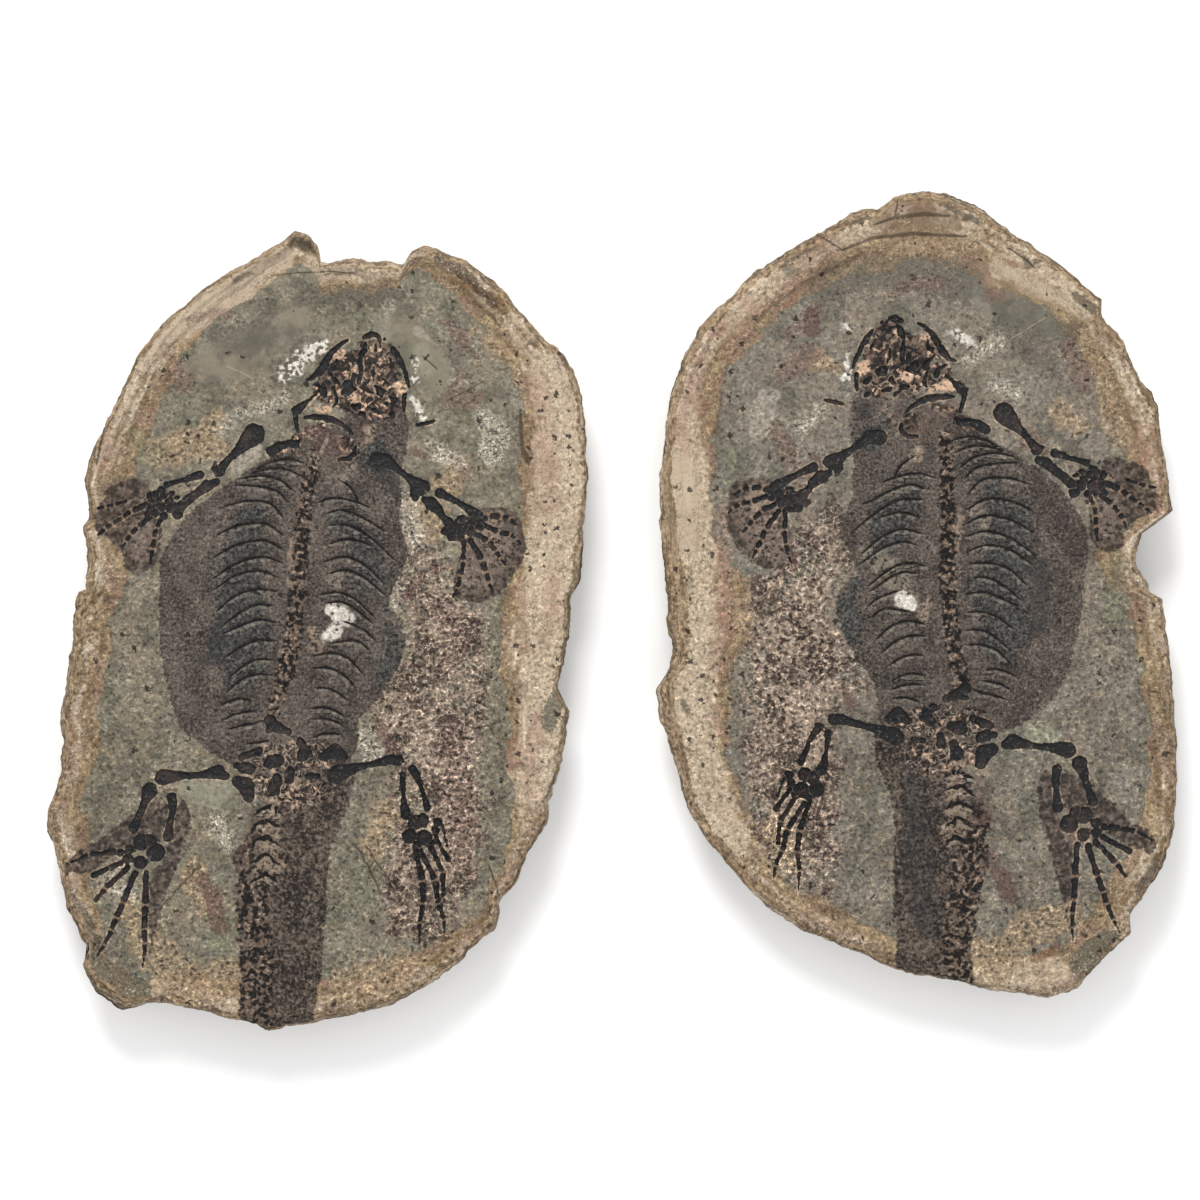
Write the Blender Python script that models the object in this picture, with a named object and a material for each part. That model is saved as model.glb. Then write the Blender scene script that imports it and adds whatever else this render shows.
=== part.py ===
"""A stone nodule split in two along a small fossil reptile, lying open on its backs.

The part slab lies at -X and its counterpart at +X, both with the head towards +Y. Each half is one
stone: a domed back with a flat resting patch, a layered crust round its rim, a lower floor, and the
hollows that the bones left in the floor. All sizes are in millimetres until they reach a mesh.
"""
import math

import bmesh
import bpy
from mathutils import Vector, noise

MM = 0.001

# Where each half's own origin lies, so that the pair is centred
PART_PLACE = (-106.4, -7.4)
COUNTERPART_PLACE = (108.9, 6.0)

# Heights above the surface that the halves lie on, from the crust's outer edge in to the floor
EDGE_HEIGHT = 22.6
CREST_HEIGHT = 24.6
CRUST_HEIGHT = 24.3
LEDGE_HEIGHT = 23.6
LEDGE_FOOT_HEIGHT = 23.2
FLOOR_HEIGHT = 22.0
STEP_WIDTH = 1.0
ROUNDED_SHARE = 0.35

# The domed back and the outer side: how far in from the outline, how high, and how often the outline
# is evened out there
BACK_RINGS = [(42, 0, 12), (28, 2.4, 9), (16, 7, 6), (6, 13.8, 3), (0, 19, 0)]

# How far the stone's lumps lift it, and how fine they are along the stone and up its side
BACK_LUMP = 2.2
CREST_LUMP = 0.5
LEDGE_LUMP = 0.2
LUMP_FINENESS = (0.05, 0.3)

# The hollows in the floor: their depths, how much narrower they are at the bottom, and how far the
# plugs that cut them stand above the floor, with a shoulder just over it where they start to draw in
TAIL_DEPTH = 0.5
BONE_DEPTH = 1.3
RIB_DEPTH = 0.8
DIGIT_DEPTH = 0.9
BOTTOM_SHARE = 0.72
PLUG_TOP = 4.0
PLUG_SHOULDER = 0.05
WELD_DISTANCE = 0.005
BLOB_SIDES = 5

# The fossil in the counterpart is the part's in a mirror, turned a little and seen slightly shortened
COUNTERPART_SHIFT = (4.2, -2.6)
COUNTERPART_SKEW = (0.080, 0.038)
COUNTERPART_LENGTH = 0.955
COUNTERPART_LEAN = 0.00045

# The broken outline of each half, about its own origin
PART_OUTLINE = [
    (97.7, 54), (94.9, 84), (91.3, 94.3), (86.2, 102.2), (83.3, 103.3), (68.6, 121), (52, 133.9),
    (38, 138.6), (34, 136.8), (31.1, 131.4), (15.7, 132.8), (1.3, 132.5), (-2.3, 140.4), (-7, 143.6),
    (-18.5, 135.7), (-31.1, 129.6), (-41.9, 122.4), (-56.3, 109.8), (-63.5, 100.8), (-82.3, 61.2),
    (-83.7, 54), (-81.9, 41.4), (-84.1, 36.7), (-82.6, 28.8), (-83, 14.8), (-85.9, 13.7), (-88, 4.7),
    (-88.4, -9.7), (-92, -32), (-90.9, -40.7), (-93.1, -55.1), (-97, -64.4), (-97.4, -73.1),
    (-94.9, -76), (-90.2, -100.4), (-82.3, -114.8), (-84.1, -119.9), (-83, -124.2), (-78.7, -129.6),
    (-69.7, -135.7), (-55.3, -133.2), (-17.8, -143.5), (18.5, -137.2), (27.9, -133.9), (38.3, -128.5),
    (50.6, -119.5), (63.9, -106.9), (65.7, -101.5), (65.3, -97.6), (69.3, -93.6), (82.6, -69.5),
    (83.3, -61.2), (88, -50.4), (90.9, -29.2), (86.9, -20.5), (90.9, -2.5), (90.9, 10.8), (94.1, 18.7),
]
COUNTERPART_OUTLINE = [
    (89.8, -2), (84.8, 0.2), (81.2, 8), (79.7, 9), (80.1, 15.7), (81.9, 21.1), (92.3, 29.3), (92, 39.4),
    (87.3, 66.8), (82.3, 74.3), (75.4, 90.2), (67.5, 99.9), (67.5, 105.7), (56, 115.4), (42.3, 125.1),
    (28.6, 134.1), (22, 139), (15, 141.5), (11, 144.2), (3.1, 144.9), (-4, 143.6), (-8.5, 141.7),
    (-12.5, 138.8), (-22.1, 136.6), (-45.5, 123.3), (-57.4, 115.4), (-76.9, 95.9), (-82.6, 86.2),
    (-88.4, 68.6), (-91.3, 43.4), (-91.3, 19.6), (-89.5, 0.2), (-86.6, -19.3), (-88.4, -29),
    (-92.3, -34.7), (-91.3, -44.5), (-85.5, -62.1), (-81.5, -77.9), (-74.7, -89.5), (-67.1, -97.4),
    (-59.2, -107.1), (-39.8, -121.5), (-8.5, -134.5), (30.4, -143.1), (48.1, -145.3), (58.9, -142),
    (67.5, -132.3), (78.3, -122.6), (77.6, -116.8), (88, -101.3), (93.1, -87.7), (94.9, -71.8),
    (94.5, -52.4), (92.5, -25),
]

# The rim of each half by direction in degrees: the sloping side, the high crust and the whole rim
PART_RIM = [
    (0, 2.0, 14, 25), (35, 2.5, 14, 22), (62, 2.0, 6, 9), (88, 1.2, 2.2, 4), (112, 2.0, 5, 8),
    (150, 2.0, 9, 13), (180, 2.0, 5, 10), (215, 2.5, 7, 13), (240, 3.0, 5, 8), (270, 3.0, 8, 13),
    (305, 2.0, 4, 7), (335, 2.0, 12, 20),
]
COUNTERPART_RIM = [
    (0, 2.0, 4, 9), (35, 2.5, 6, 10), (62, 2.5, 9, 15), (88, 3.0, 10, 17), (112, 3.0, 8, 13),
    (150, 3.5, 14, 22), (180, 5.0, 14, 25), (205, 5.0, 12, 20), (235, 3.0, 5, 8), (270, 3.0, 5, 8),
    (300, 3.0, 6, 11), (335, 2.5, 6, 11),
]

# Bones as strokes along the part slab: (x, y, half-width) from one end to the other
LIMB_BONES = {
    "left_humerus": [(-22.3, 70.9, 3.8), (-26.3, 67.8, 2.7), (-30.6, 63.2, 1.3), (-33.8, 59.2, 1.5),
                     (-35.6, 57.2, 2.2)],
    "left_radius": [(-41.8, 56.0, 1.5), (-47.6, 54.2, 0.9), (-53.9, 52.6, 1.3)],
    "left_ulna": [(-37.6, 52.6, 1.9), (-40.9, 51.4, 2.0), (-45.5, 48.9, 1.4), (-49.4, 45.9, 2.1)],
    "right_humerus": [(21.2, 61.4, 2.9), (25.8, 60.7, 2.4), (31.2, 56.8, 1.3), (35.0, 53.4, 2.9),
                      (37.2, 50.3, 3.6)],
    "right_radius": [(45.1, 48.9, 1.5), (50.6, 46.0, 1.0), (55.4, 43.2, 1.0)],
    "right_ulna": [(39.9, 47.0, 1.7), (43.2, 44.4, 1.7), (45.5, 41.0, 1.2), (48.6, 38.0, 2.2)],
    "left_femur": [(-55.2, -52.0, 2.8), (-48.5, -51.3, 1.4), (-42.3, -51.0, 1.3), (-36.4, -50.5, 2.5)],
    "left_tibia": [(-59.9, -58.3, 2.6), (-62.2, -62.5, 1.5), (-64.2, -67.2, 1.2), (-65.9, -71.0, 1.8)],
    "left_fibula": [(-52.1, -60.4, 1.8), (-52.2, -66.5, 1.1), (-53.4, -73.6, 1.8)],
    "right_femur": [(7.6, -51.9, 2.9), (13.0, -49.9, 1.8), (18.6, -48.5, 1.2), (23.4, -47.5, 1.4),
                    (28.6, -46.7, 2.2)],
    "right_tibia": [(31.0, -52.2, 1.3), (31.1, -58.8, 0.8), (32.1, -65.9, 1.9)],
    "right_fibula": [(34.7, -50.4, 1.6), (37.5, -56.5, 0.9), (39.6, -63.4, 1.4)],
}
FOOT_BONES = {
    "left_carpals": [(-57.0, 48.4, 1.8), (-52.9, 44.6, 1.5), (-57.3, 44.0, 1.7), (-50.3, 41.9, 1.5)],
    "right_carpals": [(52.5, 36.6, 1.8), (49.0, 34.0, 1.5), (56.4, 39.3, 1.5)],
    "left_tarsals": [(-63.2, -76.4, 2.6), (-58.2, -80.2, 2.7), (-63.7, -83.8, 1.8), (-67.9, -79.3, 1.3),
                     (-68.3, -82.8, 1.3)],
    "right_tarsals": [(36.0, -69.2, 2.2), (40.1, -68.3, 1.6), (33.6, -74.4, 2.2), (38.4, -74.8, 2.3),
                      (42.9, -72.2, 1.2)],
}
DIGITS = {
    "left_hand": [
        [(-68.8, 46.6, 0.5), (-73.5, 45.3, 0.5), (-78.2, 44.1, 0.0)],
        [(-61.7, 45.0, 0.9), (-66.5, 43.2, 1.0), (-72.0, 39.4, 0.7), (-78.0, 35.0, 0.0)],
        [(-60.3, 39.9, 0.7), (-66.2, 35.6, 0.8), (-69.4, 30.5, 0.0)],
        [(-56.9, 38.6, 0.6), (-58.7, 33.0, 0.8), (-59.9, 25.0, 0.0)],
    ],
    "right_hand": [
        [(58.6, 39.5, 0.9), (62.5, 41.1, 1.0), (67.5, 40.8, 0.9), (71.6, 38.2, 0.0)],
        [(60.6, 37.6, 0.7), (66.0, 35.4, 0.8), (73.2, 31.6, 0.0)],
        [(58.6, 34.6, 0.8), (62.3, 31.6, 1.0), (67.7, 24.0, 0.0)],
        [(56.0, 31.2, 0.8), (59.9, 25.0, 1.0), (63.4, 14.2, 0.0)],
        [(52.9, 32.2, 0.8), (52.8, 25.0, 0.8), (49.5, 12.8, 0.0)],
    ],
    "left_foot": [
        [(-73.8, -79.7, 1.2), (-81.0, -80.8, 0.8), (-88.7, -83.3, 0.0)],
        [(-71.6, -83.5, 1.1), (-77.0, -85.8, 0.8), (-81.0, -88.0, 1.2)],
        [(-69.3, -86.2, 1.1), (-73.0, -90.0, 0.7), (-76.8, -92.8, 1.1)],
        [(-66.0, -88.2, 1.1), (-69.1, -97.4, 1.1), (-73.6, -107.0, 1.0), (-78.8, -117.2, 0.0)],
        [(-61.6, -89.0, 1.1), (-61.9, -98.6, 1.1), (-62.0, -110.0, 0.9), (-62.6, -121.8, 0.0)],
    ],
    "right_foot": [
        [(35.6, -79.8, 0.8), (37.5, -89.0, 1.3), (38.4, -97.8, 0.9), (37.0, -112.8, 0.0)],
        [(38.4, -80.6, 0.7), (42.7, -88.3, 1.1), (43.2, -97.6, 0.9), (46.0, -108.0, 0.0)],
        [(41.1, -78.4, 1.0), (45.4, -86.0, 1.0)],
        [(43.7, -75.4, 0.8), (47.1, -82.0, 0.0)],
        [(45.3, -70.4, 0.5), (46.9, -76.8, 0.0)],
    ],
}
RIBS = [
    [(-22.0, 58.0), (-16.5, 60.6), (-10.5, 61.8), (-4.8, 60.4)],
    [(-23.5, 56.6), (-17.0, 58.3), (-11.5, 58.2), (-6.0, 55.8)],
    [(-27.5, 54.6), (-20.0, 55.8), (-13.0, 54.0), (-8.6, 50.2)],
    [(-29.5, 52.3), (-21.0, 51.9), (-14.0, 50.0), (-10.6, 46.2)],
    [(-33.5, 44.5), (-25.5, 46.6), (-17.0, 45.8), (-12.2, 40.6)],
    [(-35.8, 34.5), (-28.0, 37.9), (-19.0, 38.6), (-12.2, 34.4)],
    [(-37.0, 26.3), (-28.5, 30.9), (-19.0, 32.4), (-12.2, 29.0)],
    [(-37.3, 18.6), (-28.5, 24.3), (-19.5, 26.5), (-12.6, 24.3)],
    [(-37.0, 14.6), (-29.0, 19.9), (-20.5, 21.4), (-14.0, 19.0)],
    [(-36.0, 6.9), (-29.0, 12.7), (-21.0, 14.8), (-14.5, 14.0)],
    [(-34.3, 1.2), (-27.5, 6.6), (-21.5, 9.2), (-16.5, 8.9)],
    [(-33.4, -1.0), (-27.0, 1.8), (-21.0, 3.8), (-14.5, 2.8)],
    [(-32.5, -9.5), (-27.0, -5.7), (-21.0, -3.6), (-15.2, -4.0)],
    [(-31.0, -16.6), (-26.5, -12.9), (-21.5, -10.5), (-15.5, -10.7)],
    [(-32.4, -22.4), (-27.0, -17.6), (-21.5, -15.9), (-16.2, -16.2)],
    [(-34.5, -27.0), (-31.0, -25.4), (-27.0, -24.6), (-23.6, -25.3)],
    [(-33.0, -32.0), (-30.0, -30.4), (-26.0, -29.5), (-22.6, -29.2)],
    [(-31.4, -35.6), (-27.0, -34.3), (-23.0, -33.7), (-19.4, -32.6)],
    [(-25.0, -41.0), (-21.4, -40.5), (-17.6, -40.0)],
    [(8.6, 54.0), (11.8, 51.8), (13.9, 49.0), (15.0, 46.2)],
    [(0.4, 46.0), (6.0, 47.7), (13.2, 46.6), (19.0, 44.2)],
    [(3.6, 42.0), (9.0, 43.4), (16.0, 40.9), (24.8, 35.6)],
    [(4.2, 37.9), (11.5, 37.8), (19.0, 33.7), (28.0, 25.4)],
    [(4.6, 31.0), (9.4, 32.7), (14.4, 32.4), (19.4, 30.6)],
    [(2.6, 24.8), (10.5, 26.5), (17.5, 23.4), (24.4, 16.6)],
    [(4.6, 20.4), (10.0, 21.7), (17.0, 19.1), (24.4, 12.9)],
    [(1.0, 12.8), (7.6, 13.7), (13.8, 11.2), (20.8, 4.6)],
    [(4.0, 9.8), (9.0, 10.2), (14.0, 7.6), (20.0, 2.6)],
    [(9.6, 3.2), (13.5, 1.8), (17.5, -0.2), (20.5, -3.2)],
    [(5.6, -4.7), (10.0, -3.9), (14.8, -3.9), (18.6, -6.9)],
    [(-0.6, -9.2), (5.2, -8.1), (11.4, -10.2), (16.4, -15.6)],
    [(-1.2, -13.7), (4.2, -13.6), (9.6, -16.0), (13.6, -20.2)],
    [(-0.6, -20.8), (3.6, -20.9), (7.6, -22.5), (11.2, -25.3)],
    [(-2.2, -28.4), (2.0, -27.8), (6.0, -28.7), (9.6, -31.0)],
    [(-1.6, -32.0), (2.6, -31.9), (6.2, -32.7), (9.2, -34.2)],
    [(-1.2, -38.7), (1.6, -37.6), (5.4, -37.1), (9.0, -37.8)],
]
RIB_HALF_WIDTH = 0.5

# Plates of the skull, the shoulder and the hips, as short strokes
SKULL_PLATES = [
    [(10.8, 104.5, 0.7), (6.3, 101.2, 1.0), (3.2, 96.9, 1.5), (0.9, 93.3, 1.3), (-3.2, 90.4, 0.6)],
    [(17.6, 105.6, 0.9), (20.3, 106.6, 0.9), (22.6, 105.2, 0.5)],
    [(18.2, 103.2, 0.6), (16.6, 100.0, 1.0), (15.8, 94.5, 0.8), (15.6, 89.6, 0.7)],
    [(20.9, 103.2, 0.5), (20.8, 97.0, 0.5), (20.5, 89.6, 0.6)],
    [(27.3, 102.0, 0.6), (29.4, 98.0, 1.1), (31.6, 93.4, 0.8), (33.2, 87.8, 0.6)],
    [(31.9, 86.2, 0.6), (31.6, 82.8, 0.9), (31.3, 79.2, 0.5)],
    [(13.6, 92.6, 0.8), (13.4, 89.8, 0.8)],
    [(11.2, 88.8, 0.8), (11.1, 86.4, 1.8)],
    [(4.4, 92.6, 0.5), (6.2, 90.6, 0.8), (8.0, 88.4, 0.8)],
    [(0.2, 88.5, 0.8), (2.4, 86.4, 1.1)],
    [(6.0, 86.6, 0.6), (7.0, 82.2, 0.9)],
    [(-0.6, 84.2, 0.6), (-4.2, 81.9, 1.1), (-7.2, 79.2, 1.7), (-7.4, 73.6, 0.8)],
    [(21.4, 87.2, 0.8), (23.4, 86.0, 1.3)],
    [(-3.9, 76.8, 0.7), (0.6, 76.8, 1.2), (6.2, 75.8, 1.3), (10.4, 73.2, 0.8), (13.2, 70.4, 0.6)],
    [(-16.0, 64.6, 1.6), (-12.6, 66.8, 1.3), (-6.6, 67.4, 1.1)],
    [(14.2, 65.6, 0.8), (12.6, 62.6, 0.9), (8.4, 61.6, 0.8)],
]
HIP_PLATES = [
    [(-27.2, -45.7, 1.2), (-24.0, -44.7, 1.4), (-20.6, -43.6, 1.1)],
    [(-28.6, -49.4, 1.2), (-24.2, -49.8, 1.7)],
    [(-28.8, -54.4, 1.7), (-25.6, -56.4, 2.6), (-24.6, -60.2, 2.0)],
    [(-16.2, -47.4, 2.0), (-13.2, -46.9, 1.5)],
    [(-15.6, -56.8, 2.1), (-14.8, -53.2, 1.6)],
    [(-17.6, -32.8, 1.5), (-15.0, -35.2, 1.8), (-10.4, -36.8, 1.3)],
    [(-6.0, -40.0, 1.2), (-4.0, -42.0, 1.3), (-5.6, -45.6, 1.5)],
    [(2.4, -45.8, 1.4), (7.0, -43.4, 1.9), (9.6, -45.6, 1.4)],
]

# The spine's path from the neck to the tip of the tail, with its half-width, and its joints' spacing
SPINE = [(-1.6, 58.0, 1.9), (-4.2, 46.0, 2.0), (-5.2, 35.0, 2.2), (-7.0, 15.0, 2.3), (-8.6, 0.0, 2.4),
         (-11.6, -16.0, 2.6), (-14.4, -26.0, 2.2)]
SACRUM = [(-10.6, -52.5, 1.6), (-12.0, -62.0, 1.8), (-14.6, -74.0, 2.0), (-17.4, -88.0, 2.0),
          (-21.2, -104.0, 1.9), (-22.6, -120.0, 1.9), (-22.4, -136.0, 1.8)]
VERTEBRA_LENGTH = 5.0
VERTEBRA_GAP = 1.7
VERTEBRA_SKEW = 0.5

# The scaly skin of the tail lies a little lower than the floor
TAIL_OUTLINE = [
    (11.5, -55.0), (11.8, -62.0), (8.0, -71.0), (3.6, -93.0), (2.6, -110.0), (-0.4, -133.5),
    (-26.6, -133.5), (-29.0, -105.0), (-28.6, -87.0), (-29.8, -79.0), (-24.0, -73.0), (-20.0, -62.5),
    (-8.0, -60.5), (1.0, -60.0),
]


def clear_scene():
    for thing in list(bpy.data.objects):
        bpy.data.objects.remove(thing, do_unlink=True)


def new_collection(name):
    collection = bpy.data.collections.new(name)
    bpy.context.scene.collection.children.link(collection)
    return collection


def stone_material(name, colour, roughness):
    material = bpy.data.materials.new(name)
    material.use_nodes = True
    surface = material.node_tree.nodes["Principled BSDF"]
    surface.inputs["Base Color"].default_value = (*colour, 1.0)
    surface.inputs["Roughness"].default_value = roughness
    surface.inputs["Metallic"].default_value = 0.0
    material.diffuse_color = (*colour, 1.0)
    return material


def rim_widths(rim, direction):
    """The side, crust and rim widths of one half in one direction, eased between its stations."""
    degrees = math.degrees(direction) % 360.0
    stations = rim + [(rim[0][0] + 360, *rim[0][1:])]
    for low, high in zip(stations, stations[1:]):
        if low[0] <= degrees <= high[0]:
            share = (degrees - low[0]) / (high[0] - low[0])
            share = share * share * (3.0 - 2.0 * share)
            return [a + (b - a) * share for a, b in zip(low[1:], high[1:])]
    return list(rim[0][1:])


def evened(outline, passes):
    """The outline with each point's distance from the middle drawn towards its neighbours'."""
    true_far = [math.hypot(x, y) for x, y in outline]
    far = true_far
    for _ in range(passes):
        neighbours = zip(far[-1:] + far, far, far[1:] + far[:1])
        far = [(before + 2 * here + after) / 4 for before, here, after in neighbours]
    return [(x * here / true, y * here / true) for (x, y), here, true in zip(outline, far, true_far)]


def ring(outline, insets, height, lump):
    """One closed ring of points, drawn in from the outline and roughened upwards by up to lump."""
    points = []
    for (x, y), inset in zip(outline, insets):
        scale = 1.0 - inset / math.hypot(x, y)
        along, up = LUMP_FINENESS
        rough = noise.noise(Vector((x * along, y * along, height * up))) * lump
        points.append((x * scale, y * scale, height + rough))
    return points


def stone_rings(outline, rim):
    """The rings from the resting patch, up the domed back, over the crust and down to the floor."""
    widths = [rim_widths(rim, math.atan2(y, x)) for x, y in outline]
    rings = [ring(evened(outline, passes), [inset] * len(outline), height, BACK_LUMP if height else 0.0)
             for inset, height, passes in BACK_RINGS]
    edge = [side * ROUNDED_SHARE for side, _, _ in widths]
    crest = [side for side, _, _ in widths]
    crust = [crust for _, crust, _ in widths]
    ledge = [inset + STEP_WIDTH for inset in crust]
    rim_foot = [whole for _, _, whole in widths]
    floor = [inset + STEP_WIDTH for inset in rim_foot]
    rings.append(ring(outline, edge, EDGE_HEIGHT, CREST_LUMP))
    rings.append(ring(outline, crest, CREST_HEIGHT, CREST_LUMP))
    rings.append(ring(outline, crust, CRUST_HEIGHT, CREST_LUMP))
    rings.append(ring(outline, ledge, LEDGE_HEIGHT, LEDGE_LUMP))
    rings.append(ring(outline, rim_foot, LEDGE_FOOT_HEIGHT, LEDGE_LUMP))
    rings.append(ring(outline, floor, FLOOR_HEIGHT, 0.0))
    return rings


def stone_mesh(name, place, outline, rim):
    """One half's stone, lofted ring by ring and closed by its resting patch and its floor."""
    bm = bmesh.new()
    below = None
    for points in stone_rings(outline, rim):
        corners = [bm.verts.new(((x + place[0]) * MM, (y + place[1]) * MM, z * MM)) for x, y, z in points]
        if below is None:
            bm.faces.new(corners)
            edges = list(bm.edges)
        else:
            edges = [bm.edges.new((a, b)) for a, b in zip(corners, corners[1:] + corners[:1])]
            bmesh.ops.bridge_loops(bm, edges=below + edges)
        below = edges
    bm.faces.new(corners)
    bmesh.ops.recalc_face_normals(bm, faces=bm.faces)
    mesh = bpy.data.meshes.new(name)
    bm.to_mesh(mesh)
    bm.free()
    return mesh


def tapered(path, half):
    """A stroke of one half-width along a path, drawn out to a point at both ends."""
    return [(*path[0], 0.0), *((x, y, half) for x, y in path[1:-1]), (*path[-1], 0.0)]


def side_points(stroke, narrow):
    """The outline round a stroke, its half-widths times narrow, with one point at a pointed end."""
    left, right = [], []
    last = len(stroke) - 1
    for index, (x, y, half) in enumerate(stroke):
        before, after = stroke[max(index - 1, 0)], stroke[min(index + 1, last)]
        along = Vector((after[0] - before[0], after[1] - before[1])).normalized()
        across = Vector((-along.y, along.x)) * half * narrow
        left.append((x + across.x, y + across.y))
        if half > 0.0:
            right.append((x - across.x, y - across.y))
    return left + right[::-1]


def blob_points(x, y, radius, narrow):
    """The outline of a small round bone."""
    angles = [math.tau * (index + 0.5) / BLOB_SIDES for index in range(BLOB_SIDES)]
    return [(x + radius * narrow * math.cos(a), y + radius * narrow * math.sin(a)) for a in angles]


def add_hollow(bm, top, bottom, depth, moved):
    """A closed plug whose sides draw in from top to bottom, which reaches depth below the floor."""
    faces = [bm.faces.new([bm.verts.new((*moved(x, y), FLOOR_HEIGHT + PLUG_TOP)) for x, y in top])]
    rims = [list(faces[0].edges)]
    for outline, height in ((top, FLOOR_HEIGHT + PLUG_SHOULDER), (bottom, FLOOR_HEIGHT - depth)):
        corners = [bm.verts.new((*moved(x, y), height)) for x, y in outline]
        rims.append([bm.edges.new((a, b)) for a, b in zip(corners, corners[1:] + corners[:1])])
        bmesh.ops.bridge_loops(bm, edges=rims[-2] + rims[-1])
    bm.faces.new(corners)


def bone_cutter(name, place, moved, collection):
    """All the hollows of one half in one closed mesh."""
    bm = bmesh.new()
    strokes = [(stroke, BONE_DEPTH) for stroke in [*LIMB_BONES.values(), *HIP_PLATES]]
    strokes += [(plate, DIGIT_DEPTH) for plate in SKULL_PLATES]
    strokes += [(digit, DIGIT_DEPTH) for limb in DIGITS.values() for digit in limb]
    strokes += [(tapered(rib, RIB_HALF_WIDTH), RIB_DEPTH) for rib in RIBS]
    for stroke, depth in strokes:
        add_hollow(bm, side_points(stroke, 1.0), side_points(stroke, BOTTOM_SHARE), depth, moved)
    for x, y, radius in [bone for group in FOOT_BONES.values() for bone in group]:
        add_hollow(bm, blob_points(x, y, radius, 1.0), blob_points(x, y, radius, BOTTOM_SHARE), BONE_DEPTH,
                   moved)
    for chain in (SPINE, SACRUM):
        for vertebra in vertebrae(chain):
            add_hollow(bm, side_points(vertebra, 1.0), side_points(vertebra, BOTTOM_SHARE), BONE_DEPTH, moved)
    bmesh.ops.recalc_face_normals(bm, faces=bm.faces)
    return finished_cutter(bm, name, place, collection)


def vertebrae(chain):
    """Short cross strokes along a stretch of the spine, one for each vertebra."""
    bones = []
    for (x0, y0, w0), (x1, y1, w1) in zip(chain, chain[1:]):
        length = math.hypot(x1 - x0, y1 - y0)
        count = max(1, round(length / (VERTEBRA_LENGTH + VERTEBRA_GAP)))
        for index in range(count):
            share = (index + 0.5) / count
            x, y, half = x0 + (x1 - x0) * share, y0 + (y1 - y0) * share, w0 + (w1 - w0) * share
            skew = VERTEBRA_SKEW * (-1) ** index
            thick = VERTEBRA_LENGTH / 2
            bones.append([(x - half, y + skew, thick), (x + half, y - skew, thick)])
    return bones


def tail_cutter(name, place, moved, collection):
    bm = bmesh.new()
    add_hollow(bm, TAIL_OUTLINE, TAIL_OUTLINE, TAIL_DEPTH, moved)
    bmesh.ops.recalc_face_normals(bm, faces=bm.faces)
    return finished_cutter(bm, name, place, collection)


def finished_cutter(bm, name, place, collection):
    bmesh.ops.translate(bm, verts=bm.verts, vec=(place[0], place[1], 0.0))
    bmesh.ops.scale(bm, verts=bm.verts, vec=(MM, MM, MM))
    mesh = bpy.data.meshes.new(name)
    bm.to_mesh(mesh)
    bm.free()
    cutter = bpy.data.objects.new(name, mesh)
    cutter.hide_render = True
    cutter.display_type = "WIRE"
    collection.objects.link(cutter)
    return cutter


def as_part(x, y):
    return x, y


def as_counterpart(x, y):
    """Where a point of the part's fossil lies in the counterpart."""
    across = COUNTERPART_SHIFT[0] - x + COUNTERPART_SKEW[0] * y
    along = COUNTERPART_SHIFT[1] + COUNTERPART_SKEW[1] * x + COUNTERPART_LENGTH * y
    return across, along - COUNTERPART_LEAN * x * y


def add_half(name, place, outline, rim, moved, material, halves, cutters):
    """One half: its stone, with the tail's bed and the bones' hollows cut into the floor."""
    half = bpy.data.objects.new(name, stone_mesh(name, place, outline, rim))
    half.data.materials.append(material)
    halves.objects.link(half)
    for make in (tail_cutter, bone_cutter):
        cutter = make(f"{name}_{make.__name__}", place, moved, cutters)
        cut = half.modifiers.new(make.__name__, "BOOLEAN")
        cut.object = cutter
        cut.operation = "DIFFERENCE"
        cut.solver = "EXACT"
        cut.use_self = True
    weld = half.modifiers.new("weld", "WELD")
    weld.merge_threshold = WELD_DISTANCE * MM


def build():
    clear_scene()
    halves = new_collection("fossil_pair")
    cutters = new_collection("cutters")
    add_half("part_slab", PART_PLACE, PART_OUTLINE, PART_RIM, as_part,
             stone_material("part_stone", (0.33, 0.27, 0.20), 0.85), halves, cutters)
    add_half("counterpart_slab", COUNTERPART_PLACE, COUNTERPART_OUTLINE, COUNTERPART_RIM, as_counterpart,
             stone_material("counterpart_stone", (0.35, 0.29, 0.21), 0.85), halves, cutters)


build()
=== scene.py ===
import math

import bmesh
import bpy
import numpy as np
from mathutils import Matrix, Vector, noise


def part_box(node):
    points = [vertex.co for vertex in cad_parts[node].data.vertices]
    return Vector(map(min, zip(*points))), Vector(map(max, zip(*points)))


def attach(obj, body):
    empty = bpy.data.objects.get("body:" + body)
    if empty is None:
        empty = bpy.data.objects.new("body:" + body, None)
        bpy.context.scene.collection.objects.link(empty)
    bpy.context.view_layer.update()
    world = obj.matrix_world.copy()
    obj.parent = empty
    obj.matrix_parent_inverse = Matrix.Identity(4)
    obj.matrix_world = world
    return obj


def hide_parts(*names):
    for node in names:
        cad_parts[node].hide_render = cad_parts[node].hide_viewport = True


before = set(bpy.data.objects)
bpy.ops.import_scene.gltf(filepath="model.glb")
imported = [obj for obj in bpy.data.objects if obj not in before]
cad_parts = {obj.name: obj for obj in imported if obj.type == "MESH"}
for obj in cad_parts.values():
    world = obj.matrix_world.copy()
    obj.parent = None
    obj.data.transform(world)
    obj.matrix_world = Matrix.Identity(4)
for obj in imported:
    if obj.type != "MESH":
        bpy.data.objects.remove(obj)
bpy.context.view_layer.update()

# The table and its light.
# A wide white sheet lies under the two halves. The light is a large soft panel beyond the heads, so
# the hollows have a shaded upper wall and a lit lower one, with a white room filling the shadows.
MM = 0.001
SHEET_SIZE = 6.0
SHEET_WHITE = (0.96, 0.96, 0.96, 1.0)
VIEW_WIDTH = 0.432
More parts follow.
